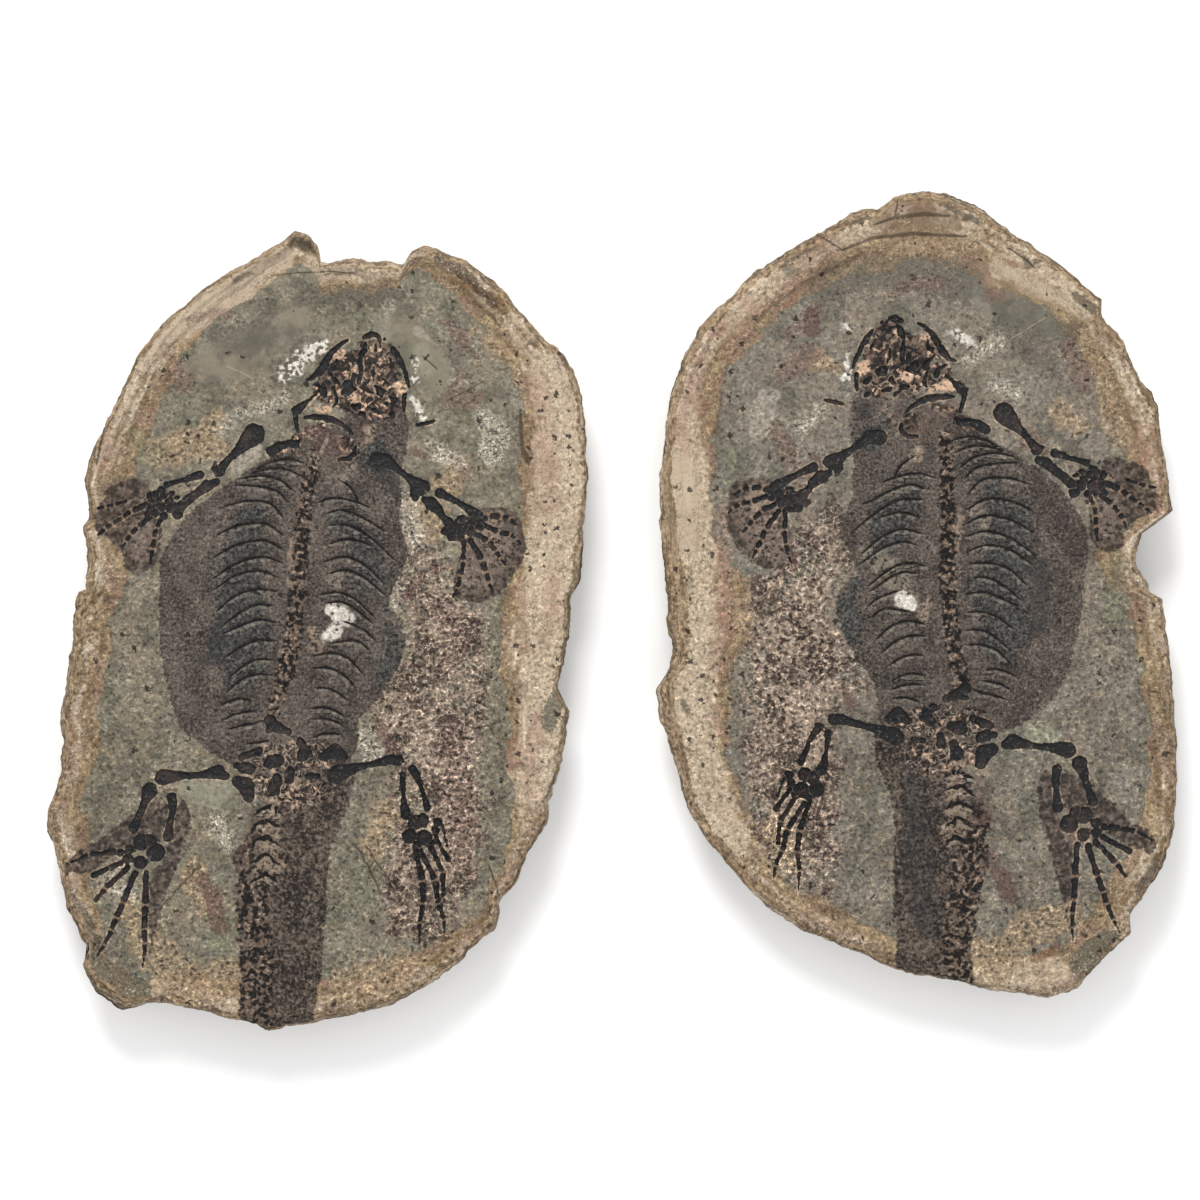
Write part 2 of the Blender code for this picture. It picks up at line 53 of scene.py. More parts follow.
VIEW_CENTRE = (-0.0043, 0.0034)
CAMERA_HEIGHT = 1.524
SPLIT_HEIGHT = 0.024
SENSOR = 36.0

sheet_bm = bmesh.new()
bmesh.ops.create_grid(sheet_bm, x_segments=2, y_segments=2, size=SHEET_SIZE / 2)
sheet_mesh = bpy.data.meshes.new("white_sheet")
sheet_bm.to_mesh(sheet_mesh)
sheet_bm.free()
sheet = bpy.data.objects.new("white_sheet", sheet_mesh)
bpy.context.scene.collection.objects.link(sheet)
sheet_paint = bpy.data.materials.new("white_sheet")
sheet_paint.use_nodes = True
sheet_surface = sheet_paint.node_tree.nodes["Principled BSDF"]
sheet_surface.inputs["Base Color"].default_value = SHEET_WHITE
sheet_surface.inputs["Roughness"].default_value = 0.9
sheet_surface.inputs["Specular IOR Level"].default_value = 0.1
sheet_mesh.materials.append(sheet_paint)


def add_panel(name, place, size, power, shade):
    """A soft square light that faces the middle of the pair."""
    light = bpy.data.lights.new(name, "AREA")
    light.shape = "DISK"
    light.size = size
    light.energy = power
    light.color = shade
    panel = bpy.data.objects.new(name, light)
    panel.location = place
    panel.rotation_euler = (Vector((0, 0, 0)) - Vector(place)).to_track_quat("-Z", "Y").to_euler()
    bpy.context.scene.collection.objects.link(panel)


add_panel("head_light", (-0.25, 1.25, 1.15), 0.7, 22.5, (1.0, 0.985, 0.96))
add_panel("foot_light", (0.3, -1.3, 1.5), 1.2, 6.5, (0.96, 0.98, 1.0))

room = bpy.data.worlds.new("white_room")
room.use_nodes = True
room.node_tree.nodes["Background"].inputs["Color"].default_value = (1.0, 1.0, 1.0, 1.0)
room.node_tree.nodes["Background"].inputs["Strength"].default_value = 0.86
bpy.context.scene.world = room
bpy.context.scene.view_settings.view_transform = "Standard"

lens = bpy.data.cameras.new("above")
lens.sensor_width = SENSOR
lens.lens = SENSOR * (CAMERA_HEIGHT - SPLIT_HEIGHT) / VIEW_WIDTH
lens.clip_end = 20.0
camera = bpy.data.objects.new("above", lens)
camera.location = (*VIEW_CENTRE, CAMERA_HEIGHT)
bpy.context.scene.collection.objects.link(camera)
bpy.context.scene.camera = camera

# The part slab's stone.
# A flat oval nodule of siltstone that grew round the animal, split in two by a hammer. Each half has a
# domed weathered back, a broken edge through the layered crust, and a split face inside it.
# All sizes from here on are in millimetres from the half's own middle.
PART_OUTLINE = [
    (97.7, 54), (94.9, 84), (91.3, 94.3), (86.2, 102.2), (83.3, 103.3), (68.6, 121), (52, 133.9),
    (38, 138.6), (34, 136.8), (31.1, 131.4), (15.7, 132.8), (1.3, 132.5), (0.4, 138.6), (-3.2, 142.8),
    (-8, 143.8), (-12.6, 140.6), (-18.5, 135.7), (-31.1, 129.6), (-41.9, 122.4), (-56.3, 109.8),
    (-63.5, 100.8), (-82.3, 61.2), (-83.7, 54), (-81.9, 41.4), (-84.1, 36.7), (-82.6, 28.8), (-83, 14.8),
    (-85.9, 13.7), (-88, 4.7), (-88.4, -9.7), (-92, -32), (-90.9, -40.7), (-93.1, -55.1), (-97, -64.4),
    (-97.4, -73.1), (-94.9, -76), (-90.2, -100.4), (-82.3, -114.8), (-84.1, -119.9), (-83, -124.2),
    (-78.7, -129.6), (-69.7, -135.7), (-55.3, -133.2), (-17.8, -143.5), (18.5, -137.2), (27.9, -133.9),
    (38.3, -128.5), (50.6, -119.5), (63.9, -106.9), (65.7, -101.5), (65.3, -97.6), (69.3, -93.6),
    (82.6, -69.5), (83.3, -61.2), (88, -50.4), (90.9, -29.2), (86.9, -20.5), (90.9, -2.5), (90.9, 10.8),
    (94.1, 18.7),
]
# By direction in degrees: how far in from the edge the side, the high crust and the whole rim reach
PART_RIM = [
    (0, 2, 14, 25), (35, 2.5, 14, 22), (62, 2, 6, 9), (88, 1.2, 2.2, 4), (112, 2, 5, 8), (150, 2, 9, 13),
    (180, 2, 5, 10), (215, 2.5, 7, 13), (240, 3, 5, 8), (270, 3, 8, 13), (305, 2, 4, 7), (335, 2, 12, 20),
]
# The same for the colours: how far in the cream outer crust and the sandy inner crust reach
PART_STAIN = [
    (0, 2, 21, 24), (20, 2, 22, 26), (40, 2, 22, 28), (58, 2, 10, 17), (75, 2, 4, 9), (92, 1.5, 9, 12),
    (108, 2, 9, 12), (125, 2, 11, 17), (150, 3, 8, 17), (180, 4.5, 8, 13), (215, 4, 9, 15),
    (240, 3.5, 6, 10), (262, 3, 8, 14), (285, 3, 7, 12), (305, 2, 4, 7), (335, 2, 18, 22),
]
# Levels above the table: the split floor, the ledge in the rim, the crust, and the edge
FLOOR = 22.0
LEDGE = 23.4
CRUST = 24.3
EDGE = 21.6
# Rings down the side and the back, each with its distance in from the edge and its level
BACK_RINGS = [
    (-0.2, 20.6), (0, 19.7), (0.4, 18.7), (1.2, 17.7), (2.2, 16.6), (3.4, 15.5), (5, 14.3), (7, 12.8),
    (10.6, 10.4), (16, 7), (22, 4.4), (28, 2.4), (35, 0.9), (42, 0),
]
GRID_ACROSS, GRID_ALONG = 188, 272
BACK_ACROSS, BACK_ALONG = 60, 86
FAR = 9.0


def eased(share):
    share = np.clip(share, 0.0, 1.0)
    return share * share * (3.0 - 2.0 * share)


def reach(outline, bearing):
    """How far the outline lies from the middle in each direction."""
    corners = np.array(outline, float)
    turn = np.arctan2(corners[:, 1], corners[:, 0]) % math.tau
    corners, turn = corners[np.argsort(turn)], np.sort(turn)
    after = np.searchsorted(turn, bearing % math.tau) % len(turn)
    start, run = corners[after - 1], corners[after] - corners[after - 1]
    across = np.cos(bearing) * run[:, 1] - np.sin(bearing) * run[:, 0]
    return (start[:, 0] * run[:, 1] - start[:, 1] * run[:, 0]) / across


def rough(x, y, fineness, octaves=4, seed=0.0):
    """Fractal lumps over the stone, about -1 to 1, with the given number of lumps to the millimetre."""
    points = np.column_stack((x * fineness, y * fineness, np.full_like(x, seed)))
    return np.array([noise.fractal(point, 1.0, 2.0, octaves) for point in points.tolist()])


def even_reach(outline, bearing, spread=0.16, steps=9):
    """The outline's reach with its notches and corners evened out."""
    turns = np.linspace(-spread, spread, steps)
    return sum(reach(outline, bearing + turn) for turn in turns) / steps


def edge_reach(outline, bearing):
    """The outline's reach with the small chips of a broken edge."""
    far = reach(outline, bearing)
    x, y = far * np.cos(bearing), far * np.sin(bearing)
    return far + 0.7 * rough(x, y, 0.13, 5, 3.0) + 0.35 * rough(x, y, 0.5, 3, 5.0)


def laid_out(grid, outline, inset=0.0):
    """Stretches a flat square grid of side 2 over the stone's outline."""
    u, v = grid[:, 0], grid[:, 1]
    disc_x, disc_y = u * np.sqrt(1 - v * v / 2), v * np.sqrt(1 - u * u / 2)
    corners = np.array(outline, float)
    half_x, half_y = np.abs(corners).max(0)
    x, y = disc_x * half_x, disc_y * half_y
    share = np.hypot(disc_x, disc_y)
    bearing = np.arctan2(y, x + 1e-9)
    oval = 1.0 / np.hypot(np.cos(bearing) / half_x, np.sin(bearing) / half_y)
    even = (even_reach(outline, bearing) - inset) / oval
    true = (edge_reach(outline, bearing) - inset) / oval if inset == 0.0 else even
    scale = 1 + (even - 1) * share ** 2 + (true - even) * eased((share - 0.8) / 0.2)
    return x * scale, y * scale


def by_direction(stations, bearing):
    """The side, crust and rim widths in each direction, eased between their stations."""
    table = np.array(stations + [(stations[0][0] + 360, *stations[0][1:])], float)
    degrees = np.degrees(bearing) % 360.0
    after = np.clip(np.searchsorted(table[:, 0], degrees), 1, len(table) - 1)
    low, high = table[after - 1], table[after]
    share = eased((degrees - low[:, 0]) / (high[:, 0] - low[:, 0]))
    return (low + (high - low) * share[:, None])[:, 1:].T


def rim_steps(x, y, outline, rim):
    """How deep in the rim each spot lies: 0 at the edge, 1 at the crust's inner end, 2 on the floor."""
    bearing = np.arctan2(y, x + 1e-9)
    inset = edge_reach(outline, bearing) - np.hypot(x, y)
    side, crust, whole = by_direction(rim, bearing)
    wander = 1.1 * rough(x, y, 0.07, 3, 9.0) + 0.4 * rough(x, y, 0.4, 3, 2.0)
    inner = inset + wander * np.clip(inset / 3.0, 0, 1)
    step = np.where(inner < crust, inner / crust, 1 + (inner - crust) / (whole - crust))
    return inset, side, np.clip(step, 0.0, 3.0)


# The fossil.
# The bones dissolved long ago and left black-lined hollows. Each bone is one or more strokes, whose
# points are (x, y, half-width). Skin, scales and webs stained the stone round them.
HUMERUS_LEFT = [
    [(-22.6, 70.6, 4), (-24.6, 68.6, 3.4), (-27.6, 65.6, 2), (-31.2, 62.2, 1.3), (-34.2, 58.9, 1.6),
     (-35.3, 57.3, 2.2)],
    [(-35.5, 57.6, 1.6), (-37.3, 58.2, 0.9)],
]
RADIUS_LEFT = [[(-54.2, 52.5, 1.2), (-50, 53.6, 0.9), (-46, 54.8, 1.2), (-42.2, 56, 1.8)]]
ULNA_LEFT = [
    [(-36.4, 53.3, 1.5), (-39.3, 52.3, 2.1), (-42.5, 49.8, 1.7), (-46, 47.3, 1.6), (-48.8, 44.8, 2),
     (-49.6, 43.9, 1.8)],
]
HUMERUS_RIGHT = [
    [(21.5, 61.3, 2.8), (25, 61.2, 2.6), (28.2, 58.8, 1.5), (31, 56.6, 1.2), (33.6, 54.6, 1.6),
     (36, 52.6, 2.5), (38.4, 51.6, 2.6), (39.6, 51.4, 1.6)],
    [(36, 52, 2.2), (35.4, 49.4, 2), (35.6, 47.6, 1.3)], [(37.4, 51, 2), (37.6, 49.4, 1)],
]
RADIUS_RIGHT = [
    [(44.4, 49.4, 1.9), (47, 48.2, 1.5), (50.4, 46.4, 1.1), (53.6, 44.4, 1.4), (56.4, 42.4, 2.1),
     (58.6, 41.2, 1.5)],
]
ULNA_RIGHT = [
    [(38.8, 47.2, 1.4), (41.2, 45.8, 2.5), (43.8, 43.6, 1.9), (45.5, 40.8, 1.2), (47.6, 38.8, 2),
     (49.4, 37.2, 2.3), (48.2, 35.8, 1)],
]
FEMUR_LEFT = [
    [(-55.5, -53, 3), (-52.5, -52.7, 2.4), (-47.5, -52.4, 1.3), (-43, -52.3, 1.25), (-39.5, -51.8, 1.8),
     (-35.5, -51.2, 2.8), (-33, -52.5, 1.7)],
]
FEMUR_RIGHT = [
    [(6.8, -52, 3.3), (10.5, -50.7, 2.6), (14.5, -49.4, 1.6), (18.5, -48.5, 1.15), (22.5, -47.7, 1.4),
     (26.5, -46.6, 1.9), (29.3, -46.9, 2.2)],
]
TIBIA_LEFT = [
    [(-60.2, -57.8, 2.9), (-61.4, -60.5, 2), (-62.8, -64, 1.3), (-64.5, -68, 1.3), (-66, -71.3, 1.9)],
]
FIBULA_LEFT = [
    [(-52.2, -60.2, 1.8), (-51.9, -63.5, 1.5), (-52.4, -67.5, 1.1), (-53, -71, 1.4), (-53.6, -74.3, 2)],
]
TIBIA_RIGHT = [
    [(31, -52, 1.25), (31, -55.5, 1.1), (31.2, -59.5, 0.75), (31.5, -63, 1.4), (32.2, -66.5, 2.1)],
]
FIBULA_RIGHT = [
    [(34.5, -50, 1.7), (36, -52.5, 1.4), (37.6, -56.5, 0.85), (38.8, -60.5, 1), (39.8, -64, 1.5)],
]
LIMBS = [HUMERUS_LEFT, RADIUS_LEFT, ULNA_LEFT, HUMERUS_RIGHT, RADIUS_RIGHT, ULNA_RIGHT, FEMUR_LEFT,
         FEMUR_RIGHT, TIBIA_LEFT, FIBULA_LEFT, TIBIA_RIGHT, FIBULA_RIGHT]
WRISTS = [
    (-56.3, 50.6, 1), (-58.2, 48.8, 1.3), (-60, 48.3, 1.2), (-57.3, 47.1, 1), (-55.2, 48.6, 1.3),
    (-52.4, 48.8, 1.2), (-53.3, 46.5, 1.3), (-52.5, 44.4, 1.8), (-56.5, 44.4, 1.7), (-60, 44.6, 1.4),
    (-58.6, 42.4, 1.6), (-60.9, 41.6, 1.2), (-50.3, 41.9, 1.7), (-55.3, 41.2, 1.1), (-59.6, 46.5, 1),
    (52.3, 36.6, 2), (48.8, 33.8, 1.7), (56, 39.4, 1.6), (58.7, 37.5, 1.1), (52.2, 40, 1.4),
    (55.2, 35.6, 1.4), (46.2, 35.6, 1.2), (51.7, 33.3, 1.2),
]
ANKLES = [
    (-63.4, -76.4, 2.7), (-60.6, -75.9, 2.2), (-58.2, -80, 3), (-63.7, -83.6, 2.1), (-67.8, -79, 1.5),
    (-68.2, -82.5, 1.6), (-71.2, -80.2, 1.1), (35.2, -69.6, 2.2), (37.9, -68.6, 2.2), (33.4, -74.3, 2.5),
    (38.5, -74.8, 2.7), (43.6, -69.2, 1.4), (42.6, -72.2, 1.2), (36.2, -76.8, 1.2), (41, -76.6, 1.1),
]
WRIST_BARS = [[[(-54.2, 49.2, 0.9), (-50, 47.8, 0.9)]], [[(50, 39.3, 0.8), (54.5, 40.2, 0.9)]]]
# Fingers and toes, each a chain of joints; the bones between them have narrow waists
DIGITS = [
    [(-68.9, 46.5, 0.7), (-73, 45.3, 0.7), (-76, 44.5, 0.9), (-78.8, 44, 0.5)],
    [(-61.8, 45.2, 1.2), (-66.8, 43, 1.3), (-70, 40.8, 1), (-73.5, 38.3, 1), (-76, 36.6, 0.9),
     (-78.4, 34.6, 0.5)],
    [(-59.6, 41, 1), (-64.6, 37.4, 1.2), (-67, 34.6, 1), (-69, 32, 0.9), (-69.8, 29.6, 0.5)],
    [(-56, 40.2, 1), (-57.8, 36.8, 1), (-58.7, 33.2, 1.1), (-59.2, 29.4, 1), (-60.1, 24, 0.5)],
    [(58.5, 39.2, 1.2), (62, 41.2, 1.4), (66.4, 40.9, 1.3), (69.5, 40.3, 1), (71.8, 38.2, 0.5)],
    [(60, 38, 1.1), (65.6, 35.5, 1.2), (69.5, 34.5, 1), (72, 33, 0.9), (73.5, 31.2, 0.5)],
    [(56.8, 35, 1.2), (61.8, 32.2, 1.3), (64.4, 28.6, 1.1), (66.2, 26, 0.9), (67.8, 23.6, 0.5)],
    [(55.3, 32.5, 1.1), (59.8, 25.2, 1.4), (61, 21, 1.1), (62.1, 17.2, 1), (63.5, 13.8, 0.5)],
    [(53, 32.4, 1.1), (52.9, 25, 1.1), (51.8, 19.5, 1), (50.6, 15.2, 0.9), (49.2, 12, 0.5)],
    [(-73.2, -80, 1.3), (-82.2, -80.8, 0.9), (-88.4, -83.6, 0.5)],
    [(-70.6, -84, 1.2), (-80.4, -88.2, 1.3)],
    [(-68.2, -85.8, 1.2), (-76.2, -93, 1.3), (-79.6, -97.4, 0.7)],
    [(-65.5, -87.6, 1.3), (-69.8, -98.2, 1.3), (-72.3, -103.8, 1.2), (-74, -108.1, 1.1),
     (-76.6, -113.4, 0.8), (-79.2, -117.8, 0.3)],
    [(-61.6, -87.4, 1.2), (-61.8, -99, 1.4), (-62.1, -107.6, 1.2), (-62, -112.6, 1),
     (-62.2, -117.5, 0.7), (-62.8, -122.3, 0.3)],
    [(35.4, -78.4, 1), (38.2, -90.4, 1.4), (38.4, -98.6, 1.1), (37, -105.6, 0.9), (36.9, -113.2, 0.3)],
    [(37.4, -79.6, 0.9), (42.7, -90.2, 1.3), (43.8, -98.6, 1.1), (45.9, -104.4, 0.9), (46, -109.4, 0.3)],
    [(40.6, -77.4, 1), (45.5, -87.2, 1.1), (45.6, -95.6, 0.9)],
    [(42.8, -74.2, 0.9), (47.4, -82.8, 1)],
    [(45.3, -70.2, 0.6), (47, -77.6, 0.7)],
]
RIBS = [
    [(-22, 58), (-16.5, 60.6), (-10.5, 61.8), (-4.8, 60.4)],
    [(-23.5, 56.6), (-17, 58.3), (-11.5, 58.2), (-6, 55.8)],
    [(-27.5, 54.6), (-20, 55.8), (-13, 54), (-8.6, 50.2)],
    [(-29.5, 52.3), (-21, 51.9), (-14, 50), (-10.6, 46.2)],
    [(-33.5, 44.5), (-25.5, 46.6), (-17, 45.8), (-12.2, 40.6)],
    [(-35.8, 34.5), (-28, 37.9), (-19, 38.6), (-12.2, 34.4)],
    [(-37, 26.3), (-28.5, 30.9), (-19, 32.4), (-12.2, 29)],
    [(-37.3, 18.6), (-28.5, 24.3), (-19.5, 26.5), (-12.6, 24.3)],
    [(-37, 14.6), (-29, 19.9), (-20.5, 21.4), (-14, 19)],
    [(-36, 6.9), (-29, 12.7), (-21, 14.8), (-14.5, 14)],
    [(-34.3, 1.2), (-27.5, 6.6), (-21.5, 9.2), (-16.5, 8.9)],
    [(-33.4, -1), (-27, 1.8), (-21, 3.8), (-14.5, 2.8)],
    [(-32.5, -9.5), (-27, -5.7), (-21, -3.6), (-15.2, -4)],
    [(-31, -16.6), (-26.5, -12.9), (-21.5, -10.5), (-15.5, -10.7)],
    [(-32.4, -22.4), (-27, -17.6), (-21.5, -15.9), (-16.2, -16.2)],
    [(-34.5, -27), (-31, -25.4), (-27, -24.6), (-23.6, -25.3)],
    [(-33, -32), (-30, -30.4), (-26, -29.5), (-22.6, -29.2)],
    [(-31.4, -35.6), (-27, -34.3), (-23, -33.7), (-19.4, -32.6)],
    [(-25, -41), (-21.4, -40.5), (-17.6, -40)],
    [(8.6, 54), (11.8, 51.8), (13.9, 49), (15, 46.2)],
    [(0.4, 46), (6, 47.7), (13.2, 46.6), (19, 44.2)],
    [(3.6, 42), (9, 43.4), (16, 40.9), (24.8, 35.6)],
    [(4.2, 37.9), (11.5, 37.8), (19, 33.7), (28, 25.4)],
    [(4.6, 31), (9.4, 32.7), (14.4, 32.4), (19.4, 30.6)],
    [(2.6, 24.8), (10.5, 26.5), (17.5, 23.4), (24.4, 16.6)],
    [(4.6, 20.4), (10, 21.7), (17, 19.1), (24.4, 12.9)],
    [(1, 12.8), (7.6, 13.7), (13.8, 11.2), (20.8, 4.6)],
    [(4, 9.8), (9, 10.2), (14, 7.6), (20, 2.6)],
    [(9.6, 3.2), (13.5, 1.8), (17.5, -0.2), (20.5, -3.2)],
    [(5.6, -4.7), (10, -3.9), (14.8, -3.9), (18.6, -6.9)],
    [(-0.6, -9.2), (5.2, -8.1), (11.4, -10.2), (16.4, -15.6)],
    [(-1.2, -13.7), (4.2, -13.6), (9.6, -16), (13.6, -20.2)],
    [(-0.6, -20.8), (3.6, -20.9), (7.6, -22.5), (11.2, -25.3)],
    [(-2.2, -28.4), (2, -27.8), (6, -28.7), (9.6, -31)],
    [(-1.6, -32), (2.6, -31.9), (6.2, -32.7), (9.2, -34.2)],
    [(-1.2, -38.7), (1.6, -37.6), (5.4, -37.1), (9, -37.8)],
]
# Dark arcs across the root of the tail
TAIL_ARCS = [
    [(-22, -66), (-17.5, -63.6), (-12.6, -66)], [(-23, -71.6), (-18.5, -68.8), (-13.4, -71)],
    [(-23, -77.4), (-18.4, -74.8), (-13.6, -77.6)], [(-23.4, -84), (-18.6, -81.2), (-14.4, -84)],
    [(-22.4, -90.4), (-18.6, -88), (-14.8, -90.4)],
]
RIB_HALF_WIDTH = 0.46
SKULL = [
    [[(11, 104.6, 0.6), (8.5, 103, 0.9), (5.5, 100.3, 1.2), (3.3, 96.8, 1.5), (1.5, 94, 1.4),
      (-1, 91.4, 1), (-3.5, 90.2, 0.5)]],
    [[(7, 97.5, 0.6), (6.5, 95, 1), (5.2, 94, 0.8)]],
    [[(17.3, 105.6, 1), (19.5, 106.6, 1.3), (21.8, 106.4, 0.8), (22.8, 104.5, 0.5), (23, 102.5, 0.4)]],
    [[(24.2, 105, 0.6), (24.6, 104.8, 0.6)]],
    [[(18, 103.5, 0.6), (17, 101, 1.3), (15.8, 98.8, 0.8)]],
    [[(20.8, 103, 0.5), (21, 100.5, 0.5)]],
    [[(15.8, 97.4, 0.9), (15.8, 93, 1), (15.5, 89.5, 0.8)]],
    [[(20.4, 95.3, 0.4), (20.5, 92, 0.6), (20.5, 89.5, 0.5)]],
    [[(27.3, 102, 0.6), (28.6, 99.5, 1.3), (30.3, 96.8, 1.1), (31.6, 93.5, 0.8), (32.6, 90.5, 0.8),
      (33.3, 87.5, 0.5)]],
    [[(31.8, 85, 0.9), (31.5, 82.5, 0.8), (31.3, 79, 0.5)]],
    [[(25.9, 98, 0.5), (27.3, 95.5, 0.6)]],
    [[(13.5, 92, 1), (13.4, 89.5, 0.8)]],
    [[(11, 88.5, 1.7), (11.3, 86.8, 1.9), (13.5, 87, 0.9)], [(11, 86.8, 1.2), (9.6, 85.8, 0.9)]],
    [[(4.5, 92.5, 0.5), (6, 90.8, 0.8), (7.7, 88.7, 0.9)]],
    [[(-1, 88.9, 0.4), (1, 88.2, 0.7), (2.3, 86.6, 1.2), (3, 84.5, 0.9)]],
    [[(5.8, 87.5, 0.5), (6.8, 84.6, 0.6), (7, 82.2, 0.8), (6, 80.5, 0.5)]],
    [[(-0.2, 84.6, 0.5), (-2.5, 83.2, 0.7), (-5, 81.2, 1.4), (-7, 79.3, 1.9), (-8.5, 79.5, 0.9)],
     [(-7.6, 78, 1.2), (-7.6, 75.5, 0.8), (-7, 72.5, 0.7), (-6.8, 71, 0.4)]],
    [[(21.2, 87.3, 0.8), (22.5, 86.3, 1.4), (24, 86.2, 1.2), (23.6, 85, 0.9)]],
    [[(19, 83.2, 1.3), (18.3, 82.2, 0.8)]],
    [[(27.8, 82.5, 1.2), (26.3, 84, 0.7)]],
    [[(25.2, 82, 0.7), (24.8, 81.6, 0.7)]],
    [[(13.2, 80.3, 1.2), (15.2, 80.3, 1)]],
    [[(16.2, 78.5, 1), (17, 77.2, 0.7)]],
    [[(19, 79.6, 0.9), (21.6, 79.2, 1)]],
    [[(27, 77.6, 1.1), (27.5, 77.2, 1)]],
]
SHOULDERS = [
    [[(-4.3, 76.7, 0.5), (-1.5, 76.9, 1.1), (2, 76.6, 1.3), (5.5, 76, 1.4), (8, 75, 1), (11, 72.8, 0.8),
      (13, 70.5, 0.5)]],
    [[(-16.5, 64.5, 1.9), (-13.5, 66.5, 1.7), (-10, 67.5, 1.3), (-7.5, 67, 1.4), (-5.8, 68.5, 0.8)]],
    [[(14.2, 66.2, 0.7), (13.6, 63.6, 1.1), (11.4, 61.8, 0.9), (8, 61.6, 0.7)]],
    [[(36, 73.9, 0.7), (39, 74.6, 0.9), (42.2, 75.3, 0.7)]],
]
HIPS = [
    [[(-27.5, -45.8, 1.2), (-24, -44.8, 1.6), (-20.5, -43.5, 1.3)]],
    [[(-26, -49.5, 2.2), (-23.8, -50, 2)], [(-26, -49.2, 1.4), (-29, -49, 1.2)]],
    [[(-28.5, -54.5, 2.2), (-25.5, -56, 3.2), (-24.5, -60, 2.2)]],
    [[(-16.4, -47.5, 2.7), (-13.5, -46.8, 1.9)]],
    [[(-15.6, -57.2, 2.6), (-14.5, -53.6, 2)]],
    [[(-10, -53.8, 1.9), (-9.6, -50.6, 1.5)]],
    [[(-17, -32.5, 2.2), (-14, -35, 2), (-10.5, -36.5, 1.6)], [(-15, -34.6, 1.6), (-17.5, -36, 1.2)]],
    [[(-6, -40, 1.5), (-4, -42.5, 1.7), (-5.5, -45.5, 2)], [(-4.6, -44.6, 1.6), (-2, -44.5, 1)]],
    [[(2.5, -45.8, 1.6), (6.5, -43.3, 2.7), (9.5, -45.5, 1.8)]],
    [[(-3.5, -52.7, 1), (0, -52.5, 1.3)]],
]
BODY_SKIN = [
    (-36, 50), (-43, 45), (-48, 40), (-51, 35.5), (-54, 31), (-55.5, 27), (-56.3, 20), (-56.3, 10),
    (-56.5, 0), (-56, -10), (-54.5, -17), (-52, -27), (-50, -33), (-46.5, -38), (-42, -41), (-38, -44),
    (-32, -47), (-28, -50), (-20, -55), (-5, -56), (6, -54), (12, -47), (14, -42), (15, -37), (15, -33),
    (18, -29), (23, -23), (28, -15), (31, -9), (32, -3), (31, 3), (28, 7), (25, 8), (26, 12), (28, 17),
    (31, 22), (33, 27), (31.5, 32), (29.5, 38), (30, 45), (30, 55), (31, 60), (32.5, 65), (33, 75),
    (31, 80), (20, 82), (10, 78), (0, 70), (-8, 66), (-16, 62), (-24, 58), (-30, 54),
]
TAIL_SKIN = [
    (14, -50), (13.6, -55), (12.5, -62), (8, -71), (5.5, -80), (4, -88), (3.3, -95), (2.6, -103),
    (2.5, -112), (2, -118), (0.8, -125), (0, -132), (-1, -143), (-28, -146), (-27.5, -131), (-26.5, -127),
    (-27.5, -120), (-28.5, -112), (-28.7, -105), (-30, -97), (-29.5, -92), (-28, -87), (-29.6, -84),
    (-28.6, -78), (-26, -75), (-21, -68), (-17, -60), (-10, -54), (0, -50),
]
TAIL_SCALES = [
    [(-24.5, -76, 2.5), (-24, -84, 3.5), (-23, -96, 6), (-22.5, -110, 6.2), (-22, -124, 6), (-22, -142, 6)],
]
SPINE = [
    [(-1, 64, 2.2), (-3, 55, 2.9), (-3.5, 50, 3), (-4, 45, 3.1), (-5, 35, 3.2), (-6, 25, 3.2),
     (-7, 15, 3.2), (-8, 5, 3.1), (-9, -5, 3.2), (-11, -15, 3.2), (-13, -22, 2.8), (-15, -28, 2.6),
     (-16, -33, 2.6)],
]
HAND_WEBS = [
    [(-60, 55), (-66, 54), (-71, 53), (-75.5, 50.5), (-78, 45), (-80, 40), (-79, 35), (-74, 33),
     (-72, 31), (-70, 27), (-69, 22), (-64, 20), (-60, 22), (-57, 28), (-56, 36), (-58, 42), (-60, 48)],
    [(60, 44), (66, 44.5), (72, 43), (74, 38), (75, 30), (74, 24), (70, 18), (64, 12), (58, 9.5),
     (52, 10.5), (49, 14), (50, 20), (52, 28), (54, 34), (58, 40)],
]
FOOT_WEBS = [
    [(-49.5, -60), (-46.5, -63), (-45.5, -67), (-46.5, -73), (-48, -78), (-50, -84), (-52, -90),
     (-54, -96), (-57, -104), (-59, -112), (-60.2, -118), (-60.6, -108), (-60.4, -96), (-59, -86),
     (-56, -84), (-54, -78), (-52.5, -72), (-51, -66)],
    [(-60, -62), (-66, -66.5), (-70, -69), (-75, -73), (-80, -77.5), (-86, -80), (-90, -83.5), (-90, -88),
     (-82, -87), (-76, -84), (-70, -80), (-64, -76), (-56, -76), (-53, -68), (-54, -62)],
]
CHEST_BLUE = [
    [(-22, 42, 3), (-26, 34, 6), (-27, 24, 8), (-27, 12, 9.5), (-27, 0, 10), (-28, -12, 8)],
    [(5, 42, 3), (12, 36, 5), (16, 28, 7), (18, 20, 6)], [(26, 6, 3), (28, -4, 3.4), (26, -16, 3)],
    [(20, 66, 3), (24, 60, 3)],
]
ROUGH_FLOOR = [
    (32, 34), (40, 30), (47, 28), (50, 18), (56, 8), (62, 4), (63, -10), (62, -30), (60, -50), (58, -72),
    (55, -90), (50, -104), (42, -110), (26, -112), (24, -84), (28, -62), (30, -44), (20, -34), (20, -26),
    (28, -18), (34, -8), (34, 4), (28, 12), (32, 22),
]


